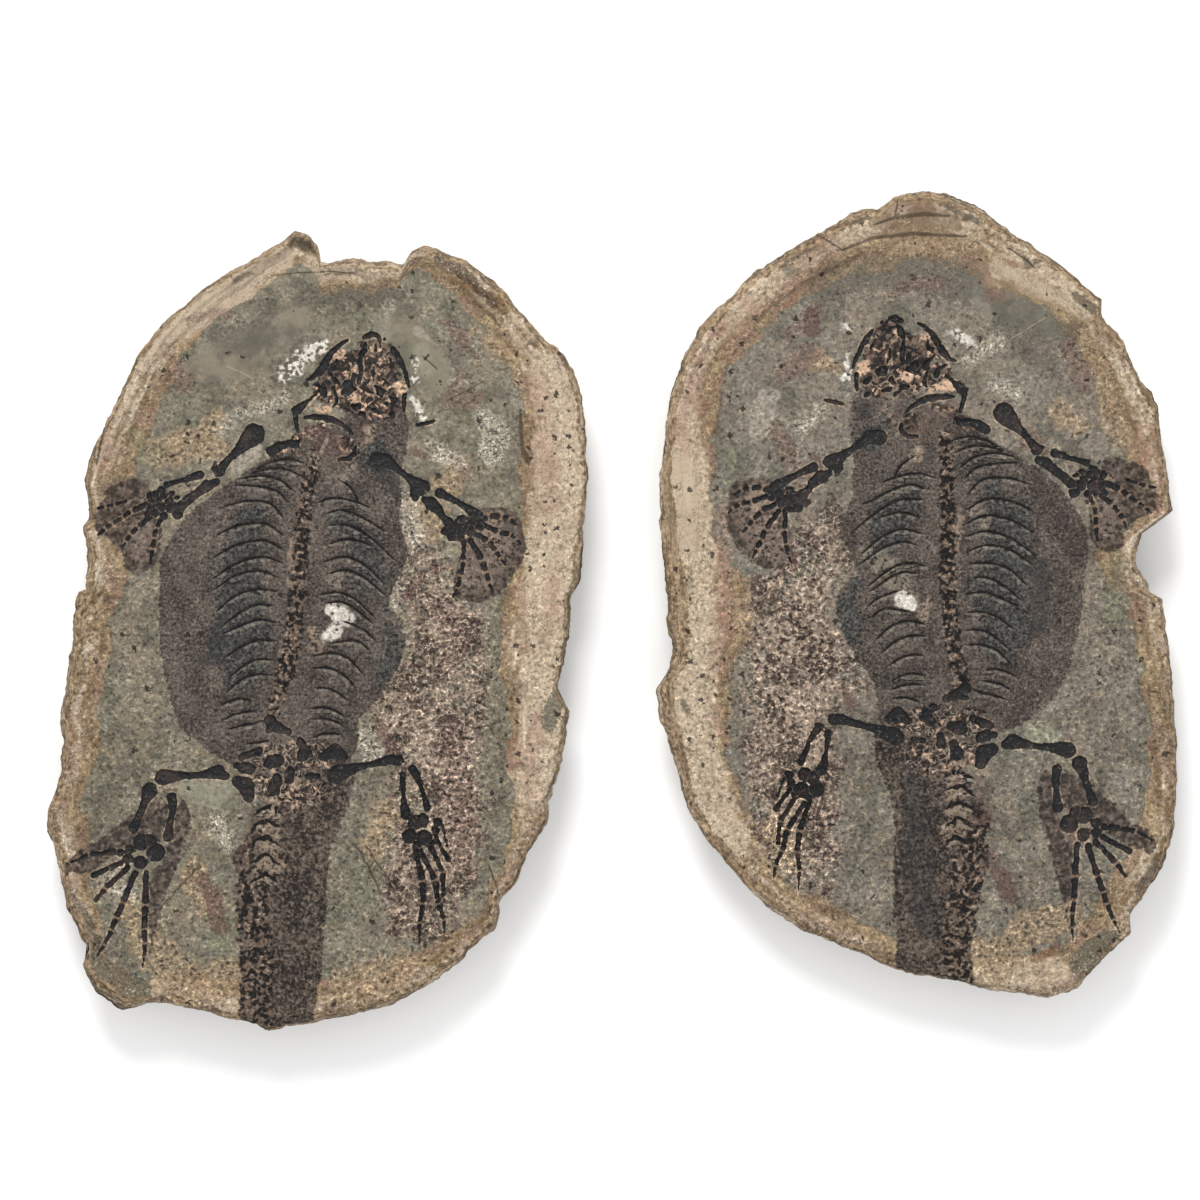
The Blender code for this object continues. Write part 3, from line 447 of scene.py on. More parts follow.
def stroke_gap(x, y, bones, far=FAR):
    """Distances in millimetres to the nearest and to the second nearest bone, negative inside."""
    first = np.full(len(x), far)
    second = np.full(len(x), far)
    for bone in bones:
        own = np.full(len(x), far)
        for stroke in bone:
            for (x0, y0, w0), (x1, y1, w1) in zip(stroke, stroke[1:]):
                wide = max(w0, w1) + far
                near = np.flatnonzero((x > min(x0, x1) - wide) & (x < max(x0, x1) + wide)
                                      & (y > min(y0, y1) - wide) & (y < max(y0, y1) + wide))
                run_x, run_y = x1 - x0, y1 - y0
                share = ((x[near] - x0) * run_x + (y[near] - y0) * run_y) / (run_x ** 2 + run_y ** 2)
                share = np.clip(share, 0, 1)
                away = np.hypot(x[near] - x0 - run_x * share, y[near] - y0 - run_y * share)
                own[near] = np.minimum(own[near], away - w0 - (w1 - w0) * share)
        second = np.minimum(second, np.maximum(first, own))
        first = np.minimum(first, own)
    return first, second


def outline_gap(x, y, outline):
    """Signed distance in millimetres to a closed outline, negative inside."""
    gap = np.full(len(x), 1e3)
    inside = np.zeros(len(x), bool)
    for (x0, y0), (x1, y1) in zip(outline, outline[1:] + outline[:1]):
        run_x, run_y = x1 - x0, y1 - y0
        share = np.clip(((x - x0) * run_x + (y - y0) * run_y) / (run_x ** 2 + run_y ** 2), 0, 1)
        gap = np.minimum(gap, np.hypot(x - x0 - run_x * share, y - y0 - run_y * share))
        if y0 != y1:
            inside ^= ((y0 > y) != (y1 > y)) & (x < x0 + (y - y0) * run_x / run_y)
    return np.where(inside, -gap, gap)


def flowing(path, steps=6):
    """A smooth curve through a path's points."""
    ends = [path[0], *path, path[-1]]
    curve = []
    for before, start, end, after in zip(ends, ends[1:], ends[2:], ends[3:]):
        for share in np.arange(steps) / steps:
            curve.append(tuple(0.5 * (2 * b + (c - a) * share + (2 * a - 5 * b + 4 * c - d) * share ** 2
                                      + (3 * b - a - 3 * c + d) * share ** 3)
                               for a, b, c, d in zip(before, start, end, after)))
    return curve + [path[-1]]


def line_offset(x, y, lines, far=3.0):
    """Signed offset from the nearest line in its own half-widths, and the gap to its edge in mm."""
    offset = np.full(len(x), far)
    gap = np.full(len(x), far)
    for line in lines:
        for (x0, y0, w0), (x1, y1, w1) in zip(line, line[1:]):
            near = np.flatnonzero((x > min(x0, x1) - far) & (x < max(x0, x1) + far)
                                  & (y > min(y0, y1) - far) & (y < max(y0, y1) + far))
            run_x, run_y = x1 - x0, y1 - y0
            long = math.hypot(run_x, run_y)
            off_x, off_y = x[near] - x0, y[near] - y0
            share = np.clip((off_x * run_x + off_y * run_y) / long ** 2, 0, 1)
            away = np.hypot(off_x - run_x * share, off_y - run_y * share)
            side = (run_x * off_y - run_y * off_x) / long
            half = w0 + (w1 - w0) * share
            closer = away - half < gap[near]
            gap[near[closer]] = (away - half)[closer]
            side = np.where(np.abs(side) < away - 0.05, np.copysign(away, side), side)
            offset[near[closer]] = np.clip(side / half, -8, 8)[closer]
    return offset, gap


def waisted(digit):
    """The bones of one finger or toe, each narrow at its waist, from its chain of joints."""
    return [[[(x0, y0, w0), ((x0 + x1) / 2, (y0 + y1) / 2, (w0 + w1) * 0.4), (x1, y1, w1)]]
            for (x0, y0, w0), (x1, y1, w1) in zip(digit, digit[1:])]


def rib_line(path, half_width=RIB_HALF_WIDTH):
    """A rib as a curve that is thickest in its middle."""
    curve = flowing(path)
    last = len(curve) - 1
    return [(x, y, half_width * (0.35 + 0.65 * math.sin(math.pi * index / last) ** 0.6))
            for index, (x, y) in enumerate(curve)]


def round_bone(x, y, radius):
    """A small bone of the wrist or ankle, as one short stroke."""
    return [[(x, y, radius + 0.35), (x + 0.2, y, radius + 0.35)]]


BONES = [*LIMBS, *WRIST_BARS, *[round_bone(*spot) for spot in WRISTS + ANKLES],
         *[bone for digit in DIGITS for bone in waisted(digit)], *SKULL, *SHOULDERS, *HIPS]
RIB_LINES = [rib_line(path) for path in RIBS] + [rib_line(path, 0.75) for path in TAIL_ARCS]
SKULL_FIELD = [
    [(5, 94, 4), (12, 92, 8), (19, 92, 10.5), (21, 98, 7.5)], [(2, 86, 4), (12, 84, 6), (24, 82, 6)],
    [(-13, 65, 1.6), (-5, 70, 2), (3, 74, 2)], [(10, 67, 3.4), (14, 64, 2)],
]
HIP_FIELD = [
    [(-20, -46, 5), (-8, -46, 7), (4, -46, 4)], [(-20, -56, 5), (-8, -60, 6), (2, -58, 3)],
    [(-14, -62, 3), (-17, -66, 2)],
]

# Stains over skin and webs: maroon at the neck, buff beside the spine and in the hands, peach in the skull
OVER_PATCHES = {
    "maroon": [
        [(-2, 72, 3), (3, 68, 5), (8, 63, 4)], [(16, 73, 2), (17, 68, 2)], [(-24, -66, 2), (-27, -80, 2)],
    ],
    "buff": [
        [(-9.2, 34, 0.9), (-9.6, 26, 1.1), (-10, 17, 0.9)], [(7, 56, 2.2), (9, 54, 2.4)],
        [(-1, 0, 1.4), (0, -6, 1.8)], [(17, 67, 1.4), (20, 72, 1.4)],
        [(-16, -62, 3), (-17, -70, 4.2), (-17, -79, 4), (-19, -88, 3)], [(-14, -84, 2), (-16, -90, 1.6)],
        [(48.6, 43.8, 1.2), (52, 42.4, 1)], [(61, 36, 1.1), (65, 33, 0.9)],
        [(62.5, 39.4, 0.9), (65.5, 38.6, 0.7)], [(-47, 51.8, 1.2), (-50, 51, 0.9)],
        [(-62, 47, 1.6), (-57, 45.5, 2.6), (-53, 46.5, 2)], [(-13, -50, 1.2), (-7, -57, 1.6)],
    ],
    "mauve": [[(62, 38, 5), (63, 30, 8), (58, 20, 7)], [(-64, 28, 3), (-63, 36, 4)]],
    "peach": [
        [(-4, 81.5, 0.9), (0, 80.5, 1.8), (4, 79.4, 1.4)], [(14, 84, 1.5), (12.4, 85.6, 1)],
        [(6, 99, 1), (9, 99.4, 1.2)], [(29, 88, 1.1), (30.6, 86, 0.9)],
    ],
}
# The part's own marks on its floor and rim: soft patches, as strokes of (x, y, radius), and thin lines
PART_PATCHES = {
    "cream": [
        [(6, 129, 2), (24, 130, 2)], [(-58, 104, 4), (-42, 115, 6), (-26, 124, 5), (-12, 132, 4)],
        [(84, 92, 7), (88, 74, 9), (88, 44, 10), (82, 10, 10), (82, -20, 8), (78, -56, 8)],
        [(-2, 130, 4), (16, 130, 4), (30, 131, 3)], [(-64, -122, 2.4), (-56, -127, 3)],
        [(-30, -137, 1.4), (-10, -139, 1.4)],
    ],
    "stain": [
        [(73, 22, 1.6), (74, 6, 2.2), (75, -8, 1.6)], [(72, -34, 1.4), (71, -48, 2)],
        [(60, 96, 2), (68, 88, 2)], [(-88, -34, 1.6), (-89, -50, 1.6)], [(-76, 86, 1.4), (-71, 94, 1.4)],
    ],
    "smooth": [
        [(-58, 104, 4), (-42, 115, 6), (-26, 124, 5), (-12, 132, 4)],
        [(-36, 96, 8), (-24, 100, 7), (-8, 112, 6)], [(-44, -59, 5), (-34, -60, 5)],
        [(30, 108, 8), (42, 92, 7)],
    ],
    "brown": [
        [(-92, -40, 2), (-94, -60, 2.4)], [(-84, 0, 2.4), (-86, -20, 2.4)], [(50, 126, 3), (66, 112, 3)],
        [(-78, 84, 1.6), (-80, 66, 2)], [(-20, 123.6, 1.6), (-6, 123.6, 1.6), (12, 123, 1.6)],
        [(-6, -138, 2), (20, -134, 2.4)],
    ],
    "white": [
        [(-12, 92.5, 2.2), (-8, 95.5, 3.2), (-2, 100, 3.2), (3, 103.5, 1.4)],
        [(5, -1.4, 2.5), (6.6, -0.6, 2.4)], [(5, 8, 1.6), (8.5, 5.6, 2.4), (11.4, 3.2, 1.4)],
        [(36.4, 97, 1), (35.2, 90, 1.2)], [(34.6, 84, 1), (37, 80, 1.6), (39, 76, 1.2)],
    ],
    "pale": [
        [(62, 76, 4), (65, 70, 4.6), (63, 63, 4.2)], [(41, 67, 2.4), (46, 63, 3), (52, 60, 2)],
        [(-28, 78, 1.6), (-20, 79, 2.4), (-12, 83, 2)], [(-34, 72, 2), (-30, 76, 2)],
        [(30, 50, 2), (34, 42, 3.6), (36, 33, 3)], [(28.6, 24, 1.2), (28, 14, 1.2), (29, 5, 1.2)],
        [(17, -36, 2.4), (19, -41, 3.4), (20, -46, 2.4)], [(27, 117, 1.6), (25, 112, 1.4), (24, 107, 1.2)],
        [(-36, -70, 4), (-32, -76, 3)], [(-70, -83, 3), (-76, -92, 3), (-66, -96, 3)],
    ],
    "tan": [
        [(-57, 64, 5), (-48, 66, 6), (-40, 70, 4), (-36, 76, 3)], [(-40, 64, 4), (-34, 66, 3)],
        [(44, 44, 4), (41, 37, 5), (34, 46, 3)], [(-66, -100, 6), (-58, -116, 7), (-48, -128, 8)],
        [(30, -122, 7), (12, -128, 7)], [(-32, -122, 5), (-38, -130, 6)], [(52, 58, 4), (47, 52, 4)],
        [(58, 108, 3), (64, 100, 3)], [(24, -66, 5), (22, -78, 5)], [(-44, -88, 5), (-38, -100, 6)],
    ],
    "pink": [
        [(-53, 102, 2.4), (-50, 95, 3), (-48, 89, 2.6)], [(-46, 112, 2), (-36, 114, 2.2), (-29, 112, 1.6)],
        [(46, 111, 2), (50, 107, 2.8), (54, 103, 2.8), (58, 98, 2)],
        [(52, 92, 3), (48, 84, 3), (56, 84, 3)], [(50, 62, 2), (56, 56, 2)], [(56, -70, 4), (52, -84, 4)],
        [(44, 10, 4), (50, -4, 4), (46, -16, 3)], [(50, -38, 5), (52, -58, 6), (44, -80, 4)],
    ],
    "olive": [[(-46, -57, 4), (-38, -59, 5), (-33, -56, 3.5)], [(38, 101, 3), (40, 94, 3)]],
    "soot": [[(22, 60, 3), (29, 52, 3)], [(-36, 2, 3), (-37, -12, 3)]],
    "bared": [[(5.4, 18.6, 2.4), (6.8, 17.6, 2.4)], [(10, 62, 1.4), (12, 58, 1.6)]],
    "clay": [[(-28.6, 59, 2.6), (-25, 63, 3), (-22, 64.5, 2)], [(36, 108, 1.6), (40, 105, 1.2)]],
    "slate": [[(-80, -120, 4), (-74, -128, 5), (-64, -130, 5)], [(86, -24, 3), (84, -34, 3)]],
    "blush": [
        [(78, 92, 3), (83, 70, 4), (84, 46, 4)], [(86, 22, 3), (84, 0, 3)], [(80, -34, 3), (76, -60, 3)],
        [(-74, 80, 2), (-78, 60, 2)],
    ],
    "wine": [
        [(30.6, 9.6, 1.2), (34.5, 15, 1.6), (38, 20, 1.4)], [(42.5, 22.5, 2.4), (42.9, 22.3, 2.4)],
        [(21, -31, 1.3), (24, -37, 2.4), (28, -43, 1.6)],
        [(-41, -90, 2.4), (-37, -97, 3.4), (-35, -107, 3)], [(36, 64, 1.6), (39, 63, 1.2)],
        [(38, -100, 2), (44, -96, 1.6)],
    ],
    "green": [
        [(-65, 70, 3), (-61, 62, 3.6)], [(38, 101, 4), (42, 95, 5), (45, 88, 4)],
        [(64, 26, 1.2), (64, 0, 1.4), (63, -26, 1.4), (61, -50, 1.2)], [(-13, -101, 2.6), (-15, -97, 1.6)],
        [(20, -88, 4), (16, -98, 4)], [(-36, -104, 5), (-34, -114, 5)],
    ],
    "dark": [
        [(-14, 116, 2.6), (0, 120, 3), (12, 121, 2.6), (26, 120, 4), (36, 114, 3)],
        [(-34, 104, 6), (-20, 106, 6)], [(-76, 51, 2.4), (-70, 52, 3), (-64, 50, 2.6)],
        [(50, 96, 2), (44, 104, 2)],
    ],
    "rust": [
        [(53, 126, 1.6), (60, 122, 1.6), (66, 118, 1.4)], [(-66, 98, 1.2), (-62, 102, 1.4), (-58, 107, 1)],
    ],
    "pitted": [
        [(72, 108, 6), (82, 84, 10), (84, 60, 10), (80, 30, 8)], [(76, 0, 8), (78, -30, 8), (72, -60, 8)],
        [(-50, 70, 8), (-62, 50, 8)],
    ],
    "weathered": [
        [(-46, 118.6, 1.6), (-41, 122, 1.6)], [(-29, 126, 0.8), (-24, 128.6, 1), (-20, 128, 0.8)],
        [(-23, 127, 0.3), (-22, 122.6, 0.3)], [(-56, 110, 0.8), (-52, 113, 0.8)],
        [(-8, 141, 2.4), (-3, 139, 2)], [(44, 134, 1.8), (54, 128, 2), (64, 118, 1.6)],
        [(-90, -92, 2), (-87, -102, 4), (-81, -112, 4)], [(-96, -68, 3), (-95, -72, 3)],
        [(77, 103.4, 1), (79, 102.8, 0.8)], [(-84, 41, 1), (-74, 43, 0.8)],
    ],
}
PART_LINES = {
    "crack": [
        [(-16, 127.6, 0.15), (-7, 128.9, 0.2), (4, 129.2, 0.2), (14, 128.8, 0.15)],
        [(73.4, 79, 0.4), (73.6, 71, 0.8), (74.4, 65, 0.8), (76, 61, 1)],
        [(-75, 80, 0.3), (-77, 70, 0.4), (-79, 60, 0.4)],
        [(-56, -100, 0.2), (-49, -92, 0.25), (-43, -85.5, 0.5)], [(62, -85, 0.25), (66, -95, 0.25)],
        [(38.5, 98.5, 0.2), (43, 94.6, 0.35)], [(47.5, 83, 0.2), (53, 86, 0.2), (60, 89.6, 0.2)],
        [(14, -78, 0.3), (20, -88, 0.4), (22, -93, 0.3)], [(18, -78, 0.3), (23, -86, 0.3)],
    ],
    "scratch": [
        [(-32, 95, 0.2), (-25, 92, 0.25), (-14, 83, 0.2)],
        [(4, -88.5, 0.3), (9, -95, 0.35), (13, -100.5, 0.4)], [(4, 70, 0.55), (3, 67, 0.7), (0.5, 62, 0.5)],
    ],
}


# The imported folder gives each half's place, and its outline's own middle gives the rest
def half_place(node, outline):
    """The half's own middle in the shared frame, in millimetres."""
    low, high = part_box(node)
    corners = np.array(outline, float)
    own = (corners.max(0) + corners.min(0)) / 2
    return ((low.x + high.x) / 2 / MM - own[0], (low.y + high.y) / 2 / MM - own[1])


def clear_step(gap, width):
    """1 inside an outline and 0 outside it, crossing over about the given width."""
    return eased(0.5 - gap / width)


def fossil_marks(x, y, facing, flip, patches, lines):
    """Every mark of the fossil and of the floor at each spot, by name."""
    def faced(strokes):
        return [[(*facing(sx, sy), w) for sx, sy, w in stroke] for stroke in strokes]

    def stirred(much, fineness, octaves):
        """The spots moved about a little, so that bones and stains get ragged edges."""
        return (x + much * rough(x, y, fineness, octaves, 20.0),
                y + much * rough(x, y, fineness, octaves, 30.0))

    marks = {"skull": stroke_gap(x, y, [faced(SKULL_FIELD)])[0],
             "hips": stroke_gap(x, y, [faced(HIP_FIELD)])[0]}
    in_mosaic = np.maximum(clear_step(marks["skull"], 4.0), clear_step(marks["hips"], 4.0))
    bone_x, bone_y = stirred(0.3 + 0.5 * in_mosaic, 0.36, 3)
    first, second = stroke_gap(bone_x, bone_y, [faced(bone) for bone in BONES], 3.0)
    marks["bone"] = np.maximum(first, -0.12 - (second - first) / 2)
    marks["seam"] = np.where(first < 0.2, (second - first) / 2, 3.0)
    behind_hips = eased((facing(0, -56)[1] - y) / 6)
    x, y = stirred(0.1 + 0.9 * behind_hips, 0.3, 2)
    ribs = [line[::-1] if flip else line for line in faced(RIB_LINES)]
    marks["rib"], marks["rib_gap"] = line_offset(x, y, ribs)
    own = {"spine": SPINE, "scales": TAIL_SCALES, "chest": CHEST_BLUE, **OVER_PATCHES}
    for name, strokes in own.items():
        marks[name] = stroke_gap(x, y, [faced(strokes)])[0]
    for name, outlines in {"skin": [BODY_SKIN], "tail": [TAIL_SKIN], "wormy": [ROUGH_FLOOR],
                           "web": HAND_WEBS + FOOT_WEBS}.items():
        gaps = [outline_gap(x, y, [facing(*corner) for corner in outline]) for outline in outlines]
        marks[name] = np.minimum.reduce(gaps)
    for name, strokes in patches.items():
        marks[name] = stroke_gap(x, y, [strokes])[0]
    for name, paths in lines.items():
        marks[name], marks[name + "_gap"] = line_offset(x, y, paths)
    return marks


# What the back and the sides get for the marks that only the face has, where it isn't far from them
BEHIND = {"face": 0.0, "depth": 0.0, "inset": 0.0, "clod": 0.0, "streak": 0.0, "grit": 0.5}


def soft_lumps(spots, fineness, octaves=3):
    """Soft random lumps through the stone, centred on 0, mostly between -1 and 1."""
    lumps = np.array([noise.fractal(spot, 1.0, 2.0, octaves) for spot in (spots * fineness).tolist()])
    return 0.5 * (lumps - lumps.mean()) / lumps.std()


# Heights and depths of the face's relief
LUMP_HEIGHT = 0.35
BED_STEP = 0.3
CLOD_HEIGHT = 0.42
CRUMB_HEIGHT = 0.16
BONE_DEPTH = 0.95
RIB_DEPTH = 0.42
RIB_LIP = 0.1
CRACK_DEPTH = 0.4
SCRATCH_HEIGHT = 0.2
TAIL_DEPTH = 0.45
SKIN_DEPTH = 0.12


def split_face(x, y, outline, rim, marks):
    """The height of the split face at each spot."""
    def inside(mark, width):
        return clear_step(marks[mark], width)

    inset, side, step = rim_steps(x, y, outline, rim)
    lumps = rough(x, y, 0.035, 4, 1.0)
    grit = rough(x, y, 0.55, 4, 4.0)
    pebble = rough(x, y, 0.22, 3, 6.0)
    height = np.interp(step, [0, 0.9, 1.02, 1.9, 2.02, 3],
                       [CRUST, CRUST - 0.1, LEDGE, LEDGE - 0.3, FLOOR, FLOOR])
    height += np.interp(inset / side, [0, 0.35, 1.0], [EDGE - CRUST, -1.2, 0])
    bedded = np.clip(1.2 - step, 0, 1)
    height += 0.18 * bedded * np.sin(inset * 1.7 + 3 * rough(x, y, 0.05, 2, 8.0))
    height += LUMP_HEIGHT * lumps + 0.07 * grit
    layers = 3.2 * rough(x, y, 0.045, 4, 12.0)
    stepped = np.floor(layers) + eased((layers % 1.0) / 0.22)
    height += BED_STEP * stepped * np.clip(2.4 - step, 0.12, 1) + 0.1
    height += CRUMB_HEIGHT * pebble * inside("wormy", 6.0) + CRUMB_HEIGHT * grit * inside("wormy", 6.0)
    height += 0.10 * np.abs(grit) * np.clip(2.2 - step, 0, 1)
    on_tail = inside("tail", 1.2)
    height -= TAIL_DEPTH * on_tail - 0.12 * on_tail * grit
    coarse = np.maximum.reduce([inside(mark, 2.0) for mark in ("spine", "scales", "skull", "hips")])
    height += coarse * (CLOD_HEIGHT * pebble + 0.26 * grit - 0.1)
    for mark in ("skin", "web"):
        height -= SKIN_DEPTH * inside(mark, 1.0)
    hollow = eased((0.12 - marks["bone"]) / 0.75)
    height -= hollow * (BONE_DEPTH + 0.12 * grit)
    ribs = np.abs(marks["rib"])
    groove = RIB_LIP * np.exp(-((ribs - 2.6) / 1.0) ** 2) - RIB_DEPTH * np.exp(-(ribs / 1.1) ** 2)
    height += (marks["rib_gap"] < 1.6) * groove
    height -= CRACK_DEPTH * np.exp(-marks["crack"] ** 2) * (marks["crack_gap"] < 1.0)
    height += SCRATCH_HEIGHT * np.exp(-marks["scratch"] ** 2) * (marks["scratch_gap"] < 1.0)
    return height


def add_back(bm, outline):
    """The broken side and the domed back: rings from the face's edge down, and a grid under them."""
    ring_edges = [edge for edge in bm.edges if edge.is_boundary]
    for inset, level in BACK_RINGS:
        grown = bmesh.ops.extrude_edge_only(bm, edges=ring_edges)["geom"]
        ring_edges = [item for item in grown if isinstance(item, bmesh.types.BMEdge)]
        ring = [item for item in grown if isinstance(item, bmesh.types.BMVert)]
        bearing = np.array([math.atan2(vert.co.y, vert.co.x) for vert in ring])
        even = eased(np.array([level / 19.0]))[0]
        far = edge_reach(outline, bearing) * even + even_reach(outline, bearing) * (1 - even) - inset
        x, y = far * np.cos(bearing), far * np.sin(bearing)
        far = far + 1.3 * even * rough(x * 0.25, y * 0.25, 0.12, 3, level * 0.9)
        lump = 1.1 * rough(x, y, 0.05, 4, level * 0.06) + 0.25 * rough(x, y, 0.3, 3, level * 0.3)
        lump = lump if level else 0.0 * lump
        for vert, away, turn, up in zip(ring, far + 0.6 * lump, bearing, lump):
            vert.co = (away * math.cos(turn), away * math.sin(turn), max(level + up, 0.0))
    bottom = bmesh.ops.create_grid(bm, x_segments=BACK_ACROSS, y_segments=BACK_ALONG, size=1.0)["verts"]
    flat = np.array([vert.co[:2] for vert in bottom])
    x, y = laid_out(np.clip(flat, -1, 1), outline, BACK_RINGS[-1][0] + 2.5)
    pits = 0.5 * np.clip(rough(x, y, 0.12, 4, 7.0), 0, 1)
    for vert, *spot in zip(bottom, x, y, pits):
        vert.co = spot
    bottom_edges = [edge for edge in {e for v in bottom for e in v.link_edges} if edge.is_boundary]
    bmesh.ops.bridge_loops(bm, edges=ring_edges + bottom_edges)
    bmesh.ops.recalc_face_normals(bm, faces=bm.faces)


def keep_marks(mesh, marks, x, y):
    """Adds the marks of grain and of soft lumps, and keeps all marks on the stone's points."""
    def inside(mark, width):
        return clear_step(marks[mark], width)

    sandy = clear_step(marks["depth"] - 2.0, 0.8)
    flecked = clear_step(np.minimum.reduce([marks[name] for name in ("tan", "pale", "pink")]), 5.0)
    dark_skin = clear_step(np.minimum(marks["skin"], marks["tail"]), 1.5)
    low = eased((70 - y) / 90)
    grit = 0.5 + 0.16 * low + 0.25 * flecked - 0.05 * sandy * low
    grit += 0.6 * inside("wormy", 7.0) - 0.42 * inside("smooth", 6.0)
    grit -= 0.12 * inside("cream", 4.0) * sandy
    marks["grit"] = grit + (0.55 - grit) * dark_skin
    clod = np.maximum.reduce([inside(name, 2.0) for name in ("spine", "scales", "hips")])
    clod *= inside("skin", 1.0) + inside("tail", 1.0)
    marks["clod"] = np.maximum(np.minimum(clod, 1.0), inside("skull", 2.0))
    marks["face"] = np.ones_like(x)
    spots = np.array([vert.co for vert in mesh.vertices]) / MM
    for mark, fineness in (("broad", 0.03), ("patchy", 0.12), ("hue", 0.05)):
        marks[mark] = soft_lumps(spots, fineness)
    away = np.hypot(x, y)
    marks["streak"] = soft_lumps(np.column_stack((x / away * 5.0, y / away * 5.0, marks["inset"] * 0.42)),
                                 1.0)
    for mark, values in marks.items():
        kept = np.full(len(spots), BEHIND.get(mark, FAR), np.float32)
        kept[:len(values)] = values
        mesh.attributes.new(mark, "FLOAT", "POINT").data.foreach_set("value", kept)
    bend = np.column_stack([0.55 * soft_lumps(spots + shift, 0.45, 1) for shift in (0.0, 40.0, 80.0)])
    mesh.attributes.new("bend", "FLOAT_VECTOR", "POINT").data.foreach_set("vector", bend.ravel())


def half_stone(name, node, outline, rim, stain, facing, flip, patches, lines):
    """One half as one closed mesh, with the marks of its fossil kept on its points."""
    bm = bmesh.new()
    bmesh.ops.create_grid(bm, x_segments=GRID_ACROSS, y_segments=GRID_ALONG, size=1.0)
    flat = np.array([vert.co[:2] for vert in bm.verts])
    x, y = laid_out(np.clip(flat, -1, 1), outline)
    marks = fossil_marks(x, y, facing, flip, patches, lines)
    fine = (marks["bone"] < 1.1) & (marks["bone"] > -1.6)
    fine |= (marks["rib_gap"] < 0.9) | (marks["crack_gap"] < 0.5)
    for vert, *spot in zip(bm.verts, x, y, np.zeros_like(x)):
        vert.co = spot
    bm.verts.ensure_lookup_table()
    close = [edge for edge in bm.edges if fine[edge.verts[0].index] and fine[edge.verts[1].index]]
    bmesh.ops.subdivide_edges(bm, edges=close, cuts=1, use_grid_fill=True)
    x, y = np.array([vert.co[:2] for vert in bm.verts]).T
    marks = fossil_marks(x, y, facing, flip, patches, lines)
    height = split_face(x, y, outline, rim, marks)
    marks["inset"], side, marks["depth"] = rim_steps(x, y, outline, stain)
    marks["side"] = marks["inset"] - side
    for vert, z in zip(bm.verts, height):
        vert.co.z = z
    add_back(bm, outline)
    bmesh.ops.translate(bm, verts=bm.verts, vec=(*half_place(node, outline), 0.0))
    bmesh.ops.scale(bm, verts=bm.verts, vec=(MM, MM, MM))
    mesh = bpy.data.meshes.new(name)
    bm.to_mesh(mesh)
    bm.free()
    mesh.shade_smooth()
    keep_marks(mesh, marks, x, y)
    half = bpy.data.objects.new(name, mesh)
    bpy.context.scene.collection.objects.link(half)
    return half


def as_found(x, y):
    return x, y


part_half = half_stone("part_stone", "part_slab", PART_OUTLINE, PART_RIM, PART_STAIN, as_found, False,
                       PART_PATCHES,
                       PART_LINES)
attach(part_half, "root")
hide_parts("part_slab")


class Wire:
    """One output of a shader node, so that shader maths reads as plain sums."""

    def __init__(self, tree, socket=None):
        self.tree = tree
        self.socket = socket

    def node(self, kind, inputs, output=0, **settings):
        """Adds a node whose inputs are wires or plain values, by name or by number."""
        new = self.tree.nodes.new(kind)
        for name, value in settings.items():
            setattr(new, name, value)
        for slot, value in inputs.items():
            if isinstance(value, Wire):
                self.tree.links.new(value.socket, new.inputs[slot])
            else:
                new.inputs[slot].default_value = value
        return Wire(self.tree, new.outputs[output])

    def maths(self, operation, first, second=0.0):
        return self.node("ShaderNodeMath", {0: first, 1: second}, operation=operation)

    def __add__(self, other):
        return self.maths("ADD", self, other)

    def __sub__(self, other):
        return self.maths("SUBTRACT", self, other)

    def __rsub__(self, other):
        return self.maths("SUBTRACT", other, self)

    def __mul__(self, other):
        return self.maths("MULTIPLY", self, other)

    def __rpow__(self, other):
        return self.maths("POWER", other, self)

    __radd__ = __add__
    __rmul__ = __mul__

    def least(self, other):
        return self.maths("MINIMUM", self, other)

    def most(self, other):
        return self.maths("MAXIMUM", self, other)

    def size(self):
        return self.maths("ABSOLUTE", self)

    def other(self, output):
        """Another output of the same node."""
        return Wire(self.tree, self.socket.node.outputs[output])

    def ramp(self, start, end):
        """Eases from 0 at the start value to 1 at the end value."""
        low, high, first, last = (start, end, 0.0, 1.0) if start < end else (end, start, 1.0, 0.0)
        limits = {"From Min": low, "From Max": high, "To Min": first, "To Max": last}
        return self.node("ShaderNodeMapRange", {"Value": self, **limits}, interpolation_type="SMOOTHSTEP")

    def blend(self, share, first, second):
        """Mixes two colours by a share."""
        return self.node("ShaderNodeMix", {0: share, 6: first, 7: second}, 2, data_type="RGBA")

    def noise(self, place, fineness, detail=3.0, roughness=0.6):
        """Soft random lumps, centred on 0, mostly between -1 and 1."""
        inputs = {"Vector": place, "Scale": fineness, "Detail": detail, "Roughness": roughness}
        return (self.node("ShaderNodeTexNoise", inputs) - 0.5) * 4.0

    def mark(self, name):
        """A value kept on the stone's points."""
        return self.node("ShaderNodeAttribute", {}, 2, attribute_name=name)


# The share of light that comes back from stone that looks white under full light
LIT_WHITE = 0.65


def tint(red, green, blue):
    """A colour given as 0 to 255 values under full light, as the share of light the stone sends back."""
    return (*(LIT_WHITE * ((value / 255 + 0.055) / 1.055) ** 2.4 for value in (red, green, blue)), 1.0)


